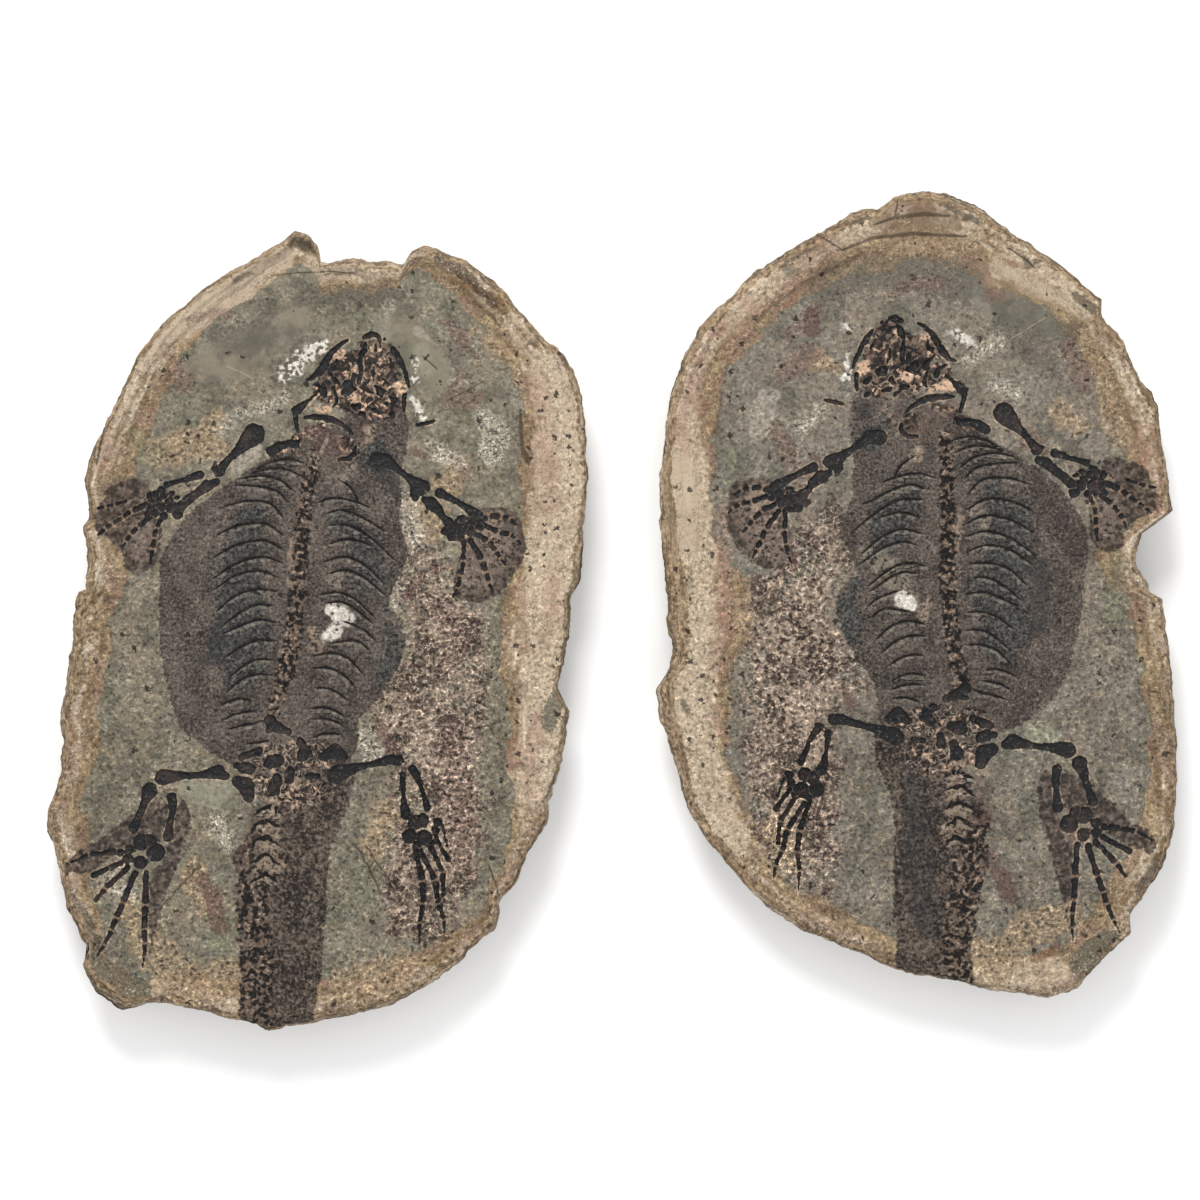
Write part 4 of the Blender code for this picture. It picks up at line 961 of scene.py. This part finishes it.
# Stains of the stone and stains of the fossil: mark, strength, half-width of the edge, tone
STONE_ZONES = [
    ("cream", 0.9, 1.0, tint(212, 193, 167)), ("brown", 0.7, 0.8, tint(124, 104, 78)),
    ("tan", 0.7, 1.0, tint(172, 149, 120)), ("green", 0.5, 2.0, tint(134, 134, 110)),
    ("dark", 0.55, 1.2, tint(98, 93, 83)), ("pink", 0.6, 0.8, tint(128, 104, 94)),
    ("wine", 0.75, 0.6, tint(102, 77, 72)), ("stain", 0.75, 0.8, tint(146, 106, 84)),
    ("blush", 0.7, 2.0, tint(178, 142, 124)), ("olive", 0.95, 0.8, tint(153, 149, 129)),
    ("clay", 0.9, 0.6, tint(168, 158, 144)), ("pale", 0.8, 1.8, tint(196, 187, 170)),
    ("rust", 0.7, 0.6, tint(138, 94, 64)), ("weathered", 0.8, 0.6, tint(80, 74, 64)),
    ("slate", 0.9, 0.6, tint(104, 102, 88)),
]
OVER_ZONES = [
    ("mauve", 0.8, 2.0, tint(130, 114, 103)), ("maroon", 0.55, 1.2, tint(98, 76, 70)),
    ("soot", 0.6, 2.0, tint(52, 53, 54)), ("bared", 0.7, 1.2, tint(140, 129, 114)),
    ("buff", 0.7, 0.6, tint(160, 140, 121)), ("peach", 0.95, 0.5, tint(216, 180, 152)),
]
# Which of them have crisp outlines, which lie on the rim only, and which are grainy
CRISP = ("wine", "olive", "clay", "slate", "weathered", "rust")
ON_RIM = ("cream", "brown", "stain")
GRAINY = ("pale", "stain", "blush")


def stone_paint(name, tones):
    """The stone's look: floor, rim and back by depth in the rim, then the fossil's stains and bones."""
    material = bpy.data.materials.new(name)
    material.use_nodes = True
    tree = material.node_tree
    surface = tree.nodes["Principled BSDF"]
    wire = Wire(tree)
    metres = wire.node("ShaderNodeTexCoord", {}, 3)
    place = wire.node("ShaderNodeVectorMath", {0: metres, 3: 1 / MM}, operation="SCALE")
    bend = wire.node("ShaderNodeAttribute", {}, 1, attribute_name="bend")
    bent = wire.node("ShaderNodeVectorMath", {0: place, 1: bend}, operation="ADD")
    soft = ("broad", "patchy", "hue", "streak", "grit")
    broad, patchy, hue, streak, grit = (wire.mark(mark) for mark in soft)
    mottle = wire.noise(place, 0.42, 1.0)
    grain = wire.noise(place, 1.0, 1.0, 0.8)
    crumbs = wire.noise(bent, 0.62, 0.0)
    clods = wire.noise(bent, 0.4, 0.0)
    curled = wire.node("ShaderNodeVectorMath", {0: bend, 1: (1.3, 1.3, 1.3), 2: place},
                       operation="MULTIPLY_ADD")
    curls = wire.noise(curled, 0.44, 0.0).size()
    rubble = grain * 0.8 + crumbs * 0.5
    dust = wire.noise(place, 1.4, 1.0, 0.7)
    wander = patchy * 1.1 + mottle * 0.8 + grain * 0.5

    def zone(mark, drift, outer, inner):
        """0 outside a mark's zone and 1 inside it, with an outline that wanders."""
        return (wire.mark(mark) + wander * drift).ramp(outer, inner)

    def drawn(mark):
        """A thin line of the given mark."""
        return wire.mark(mark).size().ramp(1.5, 0.6) * wire.mark(mark + "_gap").ramp(0.9, 0.6)

    def lay(share, shade):
        """Lays one more tone over the colour so far."""
        nonlocal colour
        colour = wire.blend(share, colour, shade)

    cell = wire.node("ShaderNodeTexVoronoi", {"Vector": place, "Scale": 0.21}, voronoi_dimensions="2D")
    speck_draw = wire.node("ShaderNodeSeparateColor", {0: cell.other(1)})
    specks = (cell * 5.0 + rubble * 0.9 + speck_draw.other(1) * 1.0).ramp(1.1, 0.9)
    shard = wire.node("ShaderNodeTexVoronoi", {"Vector": bent, "Scale": 0.85}, voronoi_dimensions="2D")
    shard_draw = wire.node("ShaderNodeSeparateColor", {0: shard.other(1)})

    depth = wire.mark("depth") + patchy * 0.3 + mottle * 0.14 + grain * 0.08
    top = wire.mark("face").ramp(0.4, 0.6)
    on_floor = depth.ramp(1.9, 2.1)
    off_floor = 1.0 - on_floor
    on_ledge = depth.ramp(0.9, 1.1)
    bare = wire.blend((patchy + mottle * 0.6).ramp(-1.0, 1.0), tones["floor dark"], tones["floor light"])
    bare = wire.blend((hue + patchy * 0.4 + mottle * 0.2).ramp(0.1, 0.8) * 0.5, bare, tones["floor warm"])
    bare = wire.blend((hue + patchy * 0.4 + mottle * 0.2).ramp(-0.2, -0.8) * 0.28, bare,
                      tones["floor green"])
    flakes = (clods + mottle * 0.8).ramp(0.25, 0.5) * grit
    bare = wire.blend(flakes * 0.4, bare, tones["worm dark"])
    bare = wire.blend((clods + mottle * 0.6).ramp(-0.35, -0.55) * grit * 0.3, bare, tones["sand light"])
    sand = wire.blend((patchy * 0.4 + streak * 0.5 + mottle * 0.5).ramp(-0.8, 0.8), tones["sand dark"],
                      tones["sand light"])
    sand = wire.blend((hue + mottle * 0.5).ramp(-0.1, -0.5) * 0.6, sand, tones["sand pink"])
    crust = wire.blend((streak * 0.8 + patchy * 0.5 + mottle * 0.5).ramp(-0.9, 0.7), tones["crust dark"],
                       tones["crust light"])
    crust = wire.blend((hue + patchy * 0.5 + mottle * 0.4).ramp(0.25, 0.65) * 0.5, crust,
                       tones["sand pink"])
    colour = wire.blend(on_floor, wire.blend(on_ledge, crust, sand), bare)
    line = (depth - 2.02).size().ramp(0.12, 0.02) * (mottle + patchy).ramp(-0.4, 0.4)
    lay(line * 0.7, tones["line"])

    wormy = zone("wormy", 4.0, 4.0, -3.0)
    worm_tone = wire.blend((patchy + clods * 0.8).ramp(-0.7, 0.7), tones["worm dark"], tones["worm mid"])
    worm_tone = wire.blend((hue + mottle).ramp(0.2, 0.9) * 0.6, worm_tone, tones["floor light"])
    worm_tone = wire.blend((clods + grain * 0.8).ramp(0.5, 0.8), worm_tone, tint(160, 140, 121))
    lay(wormy * 0.9, worm_tone)
    for mark, strength, width, shade in STONE_ZONES:
        drift = 0.6 if mark in CRISP else 1.6
        share = zone(mark, drift, width, -width) * strength * (0.75 + crumbs.ramp(-0.6, 0.2) * 0.25)
        if mark in ON_RIM:
            share = share * off_floor
        if mark in GRAINY:
            share = share * (dust + grain * 0.4).ramp(-0.45, 0.1)
        lay(share, shade)
    lay((dust + hue * 0.4).ramp(0.25, 0.6) * off_floor * 0.45, tones["sand pink"])
    lay((dust + patchy * 0.5).ramp(-0.45, -0.8) * off_floor * 0.5, tones["sand dark"])
    lay((dust + patchy * 0.4).ramp(0.5, 0.9) * off_floor * 0.5, tint(222, 206, 182))
    bands = (streak + mottle * 0.35).size().ramp(0.12, 0.03) * off_floor * patchy.ramp(-0.3, 0.4)
    lay(bands * 0.55, tones["sand dark"])
    inset = wire.mark("inset")
    across = wire.node("ShaderNodeCombineXYZ", {0: inset + mottle * 0.15, 1: patchy * 0.8, 2: broad})
    ply = wire.noise(across, 1.3, 1.0, 0.8)
    side_band = wire.blend((ply + crumbs * 0.3).ramp(-0.8, 0.8), tones["band dark"], tones["band light"])
    on_side = zone("side", 0.7, 0.35, -0.35) * (inset + wander).ramp(0.0, 0.6)
    lay(on_side * 0.9, side_band)
    brink = (inset + wander * 0.6).ramp(1.6, 0.2) * patchy.ramp(-0.4, 0.5)
    lay(brink * 0.7, tones["brink"])
    skin = zone("skin", 0.5, 0.5, -0.3)
    skin_tone = wire.blend((patchy * 0.5 + grain * 0.8).ramp(-0.9, 0.9), tint(64, 56, 52),
                           tint(108, 98, 90))
    chest = zone("chest", 2.6, 1.6, -1.6)
    chest_tone = wire.blend((grain + crumbs * 0.4).ramp(-0.9, 0.9), tint(40, 41, 41), tint(80, 81, 79))
    lay(skin * 0.97, wire.blend(chest * 0.92, skin_tone, chest_tone))
    tail = zone("tail", 0.5, 0.5, -0.3)
    tail_tone = wire.blend((grain + crumbs * 0.5 + patchy * 0.4).ramp(-0.8, 0.9), tint(44, 38, 36),
                           tint(104, 91, 81))
    lay(tail * 0.97, tail_tone)
    web = zone("web", 0.5, 0.6, -0.4)
    web_tone = wire.blend((mottle + crumbs * 0.6).ramp(-0.8, 0.9), tint(56, 48, 44), tint(106, 92, 83))
    lay(web * 0.9, web_tone)

    spine = zone("spine", 0.7, 0.5, -0.7)
    coarse = zone("scales", 1.0, 1.0, -1.0) * tail
    clod_tone = wire.blend((clods * 0.6 + crumbs * 0.8 + grain * 0.6).ramp(-0.35, 0.45), tint(28, 25, 24),
                           tint(112, 96, 84))
    clod_tone = wire.blend((crumbs + grain * 0.8).ramp(0.95, 1.15), clod_tone, tint(142, 124, 108))
    lay(spine.most(coarse * 0.94), clod_tone)
    shard_tone = wire.blend(shard_draw.ramp(0.36, 0.4), tint(30, 27, 28), tint(82, 64, 60))
    shard_tone = wire.blend(shard_draw.ramp(0.58, 0.62), shard_tone, tint(116, 98, 86))
    shard_tone = wire.blend((shard_draw + patchy * 0.12).ramp(0.84, 0.88), shard_tone, tint(206, 172, 146))
    shard_tone = wire.blend((grain + crumbs * 0.6).ramp(0.2, -0.8) * 0.55, shard_tone, tint(34, 29, 29))
    head = zone("skull", 0.8, 0.8, -0.8)
    hips = zone("hips", 1.0, 1.0, -1.0)
    lay(head.most(hips * 0.8) * 0.94, shard_tone)
    for mark, strength, width, shade in OVER_ZONES:
        share = zone(mark, 1.2, width, -width) * (rubble + clods * 0.5).ramp(-0.8, -0.1)
        lay(share * strength, shade)
    white = zone("white", 1.1, 0.5, -0.5)
    white_tone = wire.blend((rubble + skin * 0.3).ramp(-0.6, -0.1), tint(108, 98, 88), tint(222, 215, 203))
    lay(white * (crumbs + patchy * 0.6 + skin).ramp(-0.7, 0.0) * 0.95, white_tone)

    halo = wire.mark("bone").ramp(0.8, 0.1) * (patchy + mottle * 0.5).ramp(-0.3, 0.5)
    lay(halo * (0.55 - web.most(skin) * 0.3), tones["bone rim"])
    rib = wire.mark("rib")
    at_rib = wire.mark("rib_gap").ramp(1.6, 1.1)
    # Painted highlight: a pale band beside each rib groove, where the light falls on its lower wall
    rib_highlight = rib.ramp(-6.0, -3.0) * rib.ramp(-1.0, -1.8) * at_rib * crumbs.ramp(-0.9, 0.4)
    lay(rib_highlight * 0.45, tint(136, 128, 116))
    # Painted shade: a darker band on the other side of each rib groove, its shaded upper wall
    above = rib.ramp(0.6, 1.0) * rib.ramp(4.5, 1.4) * at_rib
    lay(above * 0.3, tint(50, 47, 45))
    lay((rib.size() + crumbs * 0.2).ramp(1.4, 0.8) * at_rib, tint(24, 22, 22))

    gain = 2.0 ** ((rubble * 1.0 + rubble.ramp(0.45, 0.75) * 0.5 - rubble.ramp(-0.45, -0.75) * 0.9) * grit)
    colour = wire.node("ShaderNodeVectorMath", {0: colour, 3: gain}, operation="SCALE")
    threads = curls.ramp(0.2, 0.06) * grain.ramp(-1.0, -0.2)
    in_rough = wormy * (1.0 - skin) * (mottle + crumbs).ramp(-0.8, 0.5) * 0.75
    lay(threads * (in_rough + hips * 0.4 + 0.04) * (1.0 - web), tint(222, 204, 180))
    veins = curls.ramp(0.1, 0.03) * (mottle + patchy).ramp(-0.2, 0.5) * off_floor
    lay(veins * 0.5, tones["brink"])
    pitted = zone("pitted", 3.0, 4.0, -4.0)
    lay(specks * (speck_draw + pitted * 0.3).ramp(0.82, 0.86) * 0.85, tint(44, 37, 33))

    bone = (wire.mark("bone") + crumbs * 0.12 + grain * 0.05).ramp(0.08, -0.08)
    bone_tone = wire.blend((patchy + mottle).ramp(0.1, 1.2), tint(28, 28, 30), tint(60, 49, 45))
    # Painted highlight: pale specks in the dark bone hollows stand in for glints
    bone_tone = wire.blend(rubble.ramp(0.5, 1.0) * 0.8, bone_tone, tint(104, 98, 92))
    lay(bone, bone_tone)
    seam = wire.mark("seam").ramp(0.14, 0.02) * wire.mark("bone").ramp(0.3, 0.05) * (1.0 - head)
    lay(seam * 0.6, tint(176, 146, 120))
    # Dark lines of the cracks, and painted shadows along the steps of the crust
    lay(drawn("crack") * 0.75, tint(70, 58, 46))
    lay(drawn("scratch") * crumbs.ramp(-1.2, 0.4) * 0.65, tint(180, 166, 144))

    beds = wire.node("ShaderNodeMapping", {"Vector": place, "Scale": (0.05, 0.05, 1.0)})
    strata = wire.noise(beds, 0.55, 1.0, 0.8)
    side_tone = wire.blend((strata + mottle * 0.4).ramp(-0.6, 0.7), tones["side dark"], tones["side light"])
    back_tone = wire.blend((patchy + broad * 0.6).ramp(-0.7, 0.9), tint(92, 82, 70), tint(150, 132, 108))
    upward = wire.node("ShaderNodeSeparateXYZ", {0: place}, 2)
    side_tone = wire.blend((upward + patchy * 2.5).ramp(9.0, 3.0), side_tone, back_tone)
    side_tone = wire.node("ShaderNodeVectorMath", {0: side_tone, 3: 2.0 ** (rubble * 0.7)},
                          operation="SCALE")
    side_tone = wire.blend(specks * speck_draw.ramp(0.6, 0.7) * 0.7, side_tone, tint(56, 48, 42))
    colour = wire.blend(top, side_tone, colour)

    tree.links.new(colour.socket, surface.inputs["Base Color"])
    dull = 0.88 - bone * 0.3 + grain * 0.04
    tree.links.new(dull.socket, surface.inputs["Roughness"])
    surface.inputs["Specular IOR Level"].default_value = 0.25
    lumps = (grain * 0.7 + crumbs - curls.least(0.5) * (wormy + 0.3)) * grit * 0.28
    height = lumps + clods * wire.mark("clod") * 0.3
    relief = wire.node("ShaderNodeBump", {"Height": height, "Distance": MM, "Strength": 1.0})
    tree.links.new(relief.socket, surface.inputs["Normal"])
    return material


PART_TONES = {
    "floor dark": tint(112, 107, 93), "floor light": tint(144, 138, 122), "floor warm": tint(146, 132, 112),
    "floor green": tint(120, 121, 102), "sand dark": tint(118, 98, 74), "sand light": tint(180, 157, 122),
    "sand pink": tint(158, 130, 113), "crust dark": tint(142, 118, 86), "crust light": tint(214, 196, 172),
    "line": tint(104, 102, 80), "brink": tint(88, 79, 65), "worm dark": tint(92, 76, 68),
    "worm mid": tint(178, 157, 140), "side dark": tint(104, 88, 68), "side light": tint(178, 154, 120),
    "bone rim": tint(196, 174, 146), "band dark": tint(112, 92, 68), "band light": tint(176, 152, 122),
}
part_half.data.materials.append(stone_paint("part_stone", PART_TONES))

# The counterpart slab.
# The other half of the same nodule. Its fossil is the part's in a mirror, so the same bones are laid
# over its own outline, and it has marks of its own.
COUNTERPART_OUTLINE = [
    (89.8, -2), (84.8, 0.2), (81.2, 8), (79.7, 9), (80.1, 15.7), (81.9, 21.1), (92.3, 29.3), (92, 39.4),
    (87.3, 66.8), (82.3, 74.3), (75.4, 90.2), (67.5, 99.9), (67.5, 105.7), (56, 115.4), (42.3, 125.1),
    (28.6, 134.1), (22, 139), (15, 141.5), (11, 144.2), (3.1, 144.9), (-4, 143.6), (-8.5, 141.7),
    (-12.5, 138.8), (-22.1, 136.6), (-45.5, 123.3), (-57.4, 115.4), (-76.9, 95.9), (-82.6, 86.2),
    (-88.4, 68.6), (-91.3, 43.4), (-91.3, 19.6), (-89.5, 0.2), (-86.6, -19.3), (-88.4, -29), (-92.3, -34.7),
    (-91.3, -44.5), (-85.5, -62.1), (-81.5, -77.9), (-74.7, -89.5), (-67.1, -97.4), (-59.2, -107.1),
    (-39.8, -121.5), (-8.5, -134.5), (30.4, -143.1), (48.1, -145.3), (58.9, -142), (67.5, -132.3),
    (78.3, -122.6), (77.6, -116.8), (88, -101.3), (93.1, -87.7), (94.9, -71.8), (94.5, -52.4), (92.5, -25),
]
COUNTERPART_RIM = [
    (0, 2, 4, 9), (35, 2.5, 6, 10), (62, 2.5, 9, 15), (88, 3, 10, 17), (112, 3, 8, 13), (150, 3.5, 14, 22),
    (180, 5, 14, 25), (205, 5, 12, 20), (235, 3, 5, 8), (270, 3, 5, 8), (300, 3, 6, 11), (335, 2.5, 6, 11),
]
COUNTERPART_STAIN = [
    (0, 2, 5, 12), (35, 2.5, 8, 15), (62, 2.5, 9, 17), (88, 3, 12, 24), (112, 3, 10, 17),
    (135, 3.5, 11, 19), (150, 3.5, 13, 21), (164, 6, 14, 20), (176, 7.5, 22, 30), (190, 7, 22, 31),
    (205, 5.5, 19, 28), (225, 4, 12, 21), (250, 3, 6, 12), (270, 1.5, 5, 10), (300, 1.5, 9, 16),
    (335, 2.5, 6, 12),
]
COUNTERPART_PATCHES = {
    "cream": [
        [(-84, 66, 7), (-83, 40, 9), (-80, 8, 9), (-79, -40, 8), (-74, -70, 7), (-64, -90, 5)],
        [(0, -132, 3), (30, -138, 4), (46, -137, 6), (52, -136, 5)], [(-66, 100, 4), (-50, 112, 4)],
        [(32, 118, 5), (48, 109, 4), (60, 102, 3)], [(40, 120, 3), (60, 106, 3)],
        [(-26, 128, 2), (-12, 133, 2)],
    ],
    "stain": [
        [(-76, 70, 1.6), (-77, 54, 2)], [(-69, 8, 2.6), (-68, -4, 2.2), (-67, -16, 2.6)],
        [(-71, -42, 1.4), (-69, -56, 1.6)], [(84, 44, 1.6), (82, 60, 1.6)], [(-50, 104, 2), (-42, 108, 2)],
    ],
    "smooth": [[(-84, 44, 6), (-82, 20, 6)], [(-6, 132, 8), (14, 134, 8)], [(30, 110, 10), (50, 100, 8)]],
    "brown": [
        [(-14, 132, 2), (0, 135, 4), (14, 133, 3)], [(88, 60, 2), (84, 76, 2)],
        [(90, -30, 3), (92, -60, 3)], [(-40, -119, 2), (-10, -131, 2), (20, -139, 2)],
    ],
    "white": [
        [(12, 95, 1.6), (18, 92, 2.4), (24, 88, 2)], [(-4, -3.4, 2.4), (-2, -3.6, 2.2)],
        [(-25, 96, 1.6), (-23.4, 95.4, 1.4)], [(-24, 80, 0.8), (-24, 88, 0.8)],
        [(-27, 77, 1.2), (-23, 78, 1)],
    ],
    "pale": [[(30, 75, 3.4), (37, 72, 3.4)], [(-40, 60, 3), (-33, 66, 3)], [(20, 84, 3), (30, 90, 3)]],
    "tan": [
        [(-50, -84, 5), (-44, -96, 6)], [(10, -128, 6), (30, -132, 8)], [(-50, 24, 4), (-56, 14, 4)],
        [(40, -122, 6), (56, -116, 6)], [(60, 60, 4), (52, 66, 4)], [(-34, 84, 4), (-28, 80, 3)],
        [(66, 84, 4), (70, 70, 4), (74, 56, 4)], [(-16, 125, 2), (4, 125.6, 3.6), (20, 125, 3.6)],
    ],
    "pink": [
        [(-44, 94, 2.6), (-38, 100, 2.6), (-36, 102, 2.6)], [(-8, 108, 2), (2, 112, 2.4), (8, 112, 2)],
        [(26, 106, 1.6), (33, 109, 1.6)], [(-38, 86, 4), (-46, 80, 4)], [(56, 88, 4), (62, 76, 4)],
        [(-50, 60, 3), (-44, 50, 4), (-40, 42, 4)], [(40, 56, 4), (46, 52, 3)],
    ],
    "olive": [[(-46, 116, 1), (-44, 116, 1)], [(44, -50, 4), (52, -54, 3)]],
    "soot": [
        [(-1, -66, 3), (0, -80, 5), (2, -100, 6), (4, -122, 5)], [(-17, 76, 2), (-18, 66, 3)],
        [(44, 10, 4), (46, -10, 4)],
    ],
    "bared": [
        [(-17, 14, 3), (-9, 8, 5), (-2, -2, 4)], [(22, 30, 2), (26, 24, 2)], [(-8, 66, 2), (-8, 76, 2)],
    ],
    "clay": [[(-53, 70, 4), (-55, 64, 5), (-56, 59, 4)], [(-12, 64, 1), (-8, 64.4, 1)]],
    "slate": [[(60, -134, 5), (70, -126, 5)], [(-52, 118, 2), (-44, 124, 3)]],
    "blush": [
        [(-36, 119, 1.2), (-56, 104, 1.4), (-68, 85, 1.4), (-71, 68, 1.4)], [(-82, 72, 3), (-84, 50, 3)],
        [(-68, 30, 3), (-70, -30, 3)], [(-72, 92, 3), (-60, 104, 3)], [(88, 30, 2), (86, 60, 2)],
    ],
    "wine": [
        [(28, -96, 2.6), (32, -103, 3.6), (34, -110, 2.6)], [(-38, 101, 2.4), (-37, 95, 3)],
        [(-36, 49, 2.2), (-33, 46, 2.2)], [(-25, -34, 2), (-23, -40, 2)], [(-46, 20, 2), (-44, 10, 2)],
        [(58, -84, 2), (56, -94, 2)],
    ],
    "green": [
        [(-82, -4, 1.6), (-82, 6, 1.6)], [(56, -60, 5), (60, -80, 5)], [(74, 10, 4), (72, -6, 4)],
        [(8, -118, 4), (14, -112, 3)], [(-66, 52, 1.2), (-68, 20, 1.4), (-67, 0, 1.2)],
    ],
    "dark": [
        [(-30, 112, 7), (-6, 116, 6), (16, 112, 8)], [(40, 98, 8), (54, 92, 6)], [(56, 50, 5), (66, 40, 5)],
        [(46, 84, 6), (40, 92, 5)],
    ],
    "rust": [[(52, -128, 1), (44, -132, 1.4)], [(30, 121, 1), (36, 118, 1)]],
    "pitted": [
        [(-67, 76, 3), (-66, 66, 4), (-67, 58, 3)], [(-72, 96, 4), (-80, 74, 4)],
        [(-78, 20, 8), (-76, -10, 8), (-72, -50, 8)], [(-40, 10, 10), (-46, -30, 10)],
    ],
    "weathered": [
        [(-48, 118.6, 1.8), (-38, 125.6, 2.4)], [(-24, 133, 1), (-14, 136.4, 1.2)],
        [(58, 107, 1.6), (64, 102, 1.6)], [(84, -106, 4), (90, -96, 3)],
        [(39, 122, 0.7), (41, 118, 1.2), (46, 120, 0.6)], [(50, 119, 0.8), (54, 116, 0.8)],
        [(-83, -39.5, 0.8), (-81.4, -43.5, 0.9)], [(10, 140, 1), (22, 134, 1.4)],
    ],
}
COUNTERPART_LINES = {
    # The first three lines, across the top of the crust, are painted shadows under its steps; the others
    # are cracks
    "crack": [
        [(-26, 123.4, 0.4), (-15, 127.6, 0.6), (0, 129.4, 0.7), (18, 128.4, 0.5)],
        [(-14, 132.6, 0.3), (-7, 135, 0.6), (3, 136.4, 0.8), (12, 135.6, 0.4)],
        [(-35, 129, 0.3), (-30, 126, 0.3), (-26, 123.5, 0.3)],
        [(34, 124, 0.3), (40, 120, 0.3), (43, 117, 0.25)], [(-7, 136, 0.3), (-6, 141, 0.3)],
        [(-29, -116, 0.3), (-30, -118, 0.3)],
    ],
    "scratch": [
        [(30, 89, 0.25), (39, 94, 0.2), (47, 99, 0.2)],
        [(-21, -99, 0.25), (-14, -92, 0.3), (-8, -87, 0.25)], [(28, -76, 0.25), (36, -81, 0.2)],
        [(40, -90, 0.25), (47, -97, 0.3), (54, -104, 0.2)],
    ],
}


def face_to_face(x, y):
    """Where a mark of the part lies in the counterpart: in a mirror, a little turned and shortened."""
    return 4.2 - x + 0.080 * y, -2.6 + 0.038 * x + 0.955 * y - 0.00045 * x * y


counterpart_half = half_stone("counterpart_stone", "counterpart_slab", COUNTERPART_OUTLINE, COUNTERPART_RIM,
                              COUNTERPART_STAIN, face_to_face, True, COUNTERPART_PATCHES, COUNTERPART_LINES)
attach(counterpart_half, "root")
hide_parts("counterpart_slab")

COUNTERPART_TONES = {
    **PART_TONES, "floor dark": tint(110, 105, 94), "floor light": tint(144, 137, 124),
    "floor warm": tint(140, 126, 112), "floor green": tint(118, 118, 106),
}
counterpart_half.data.materials.append(stone_paint("counterpart_stone", COUNTERPART_TONES))
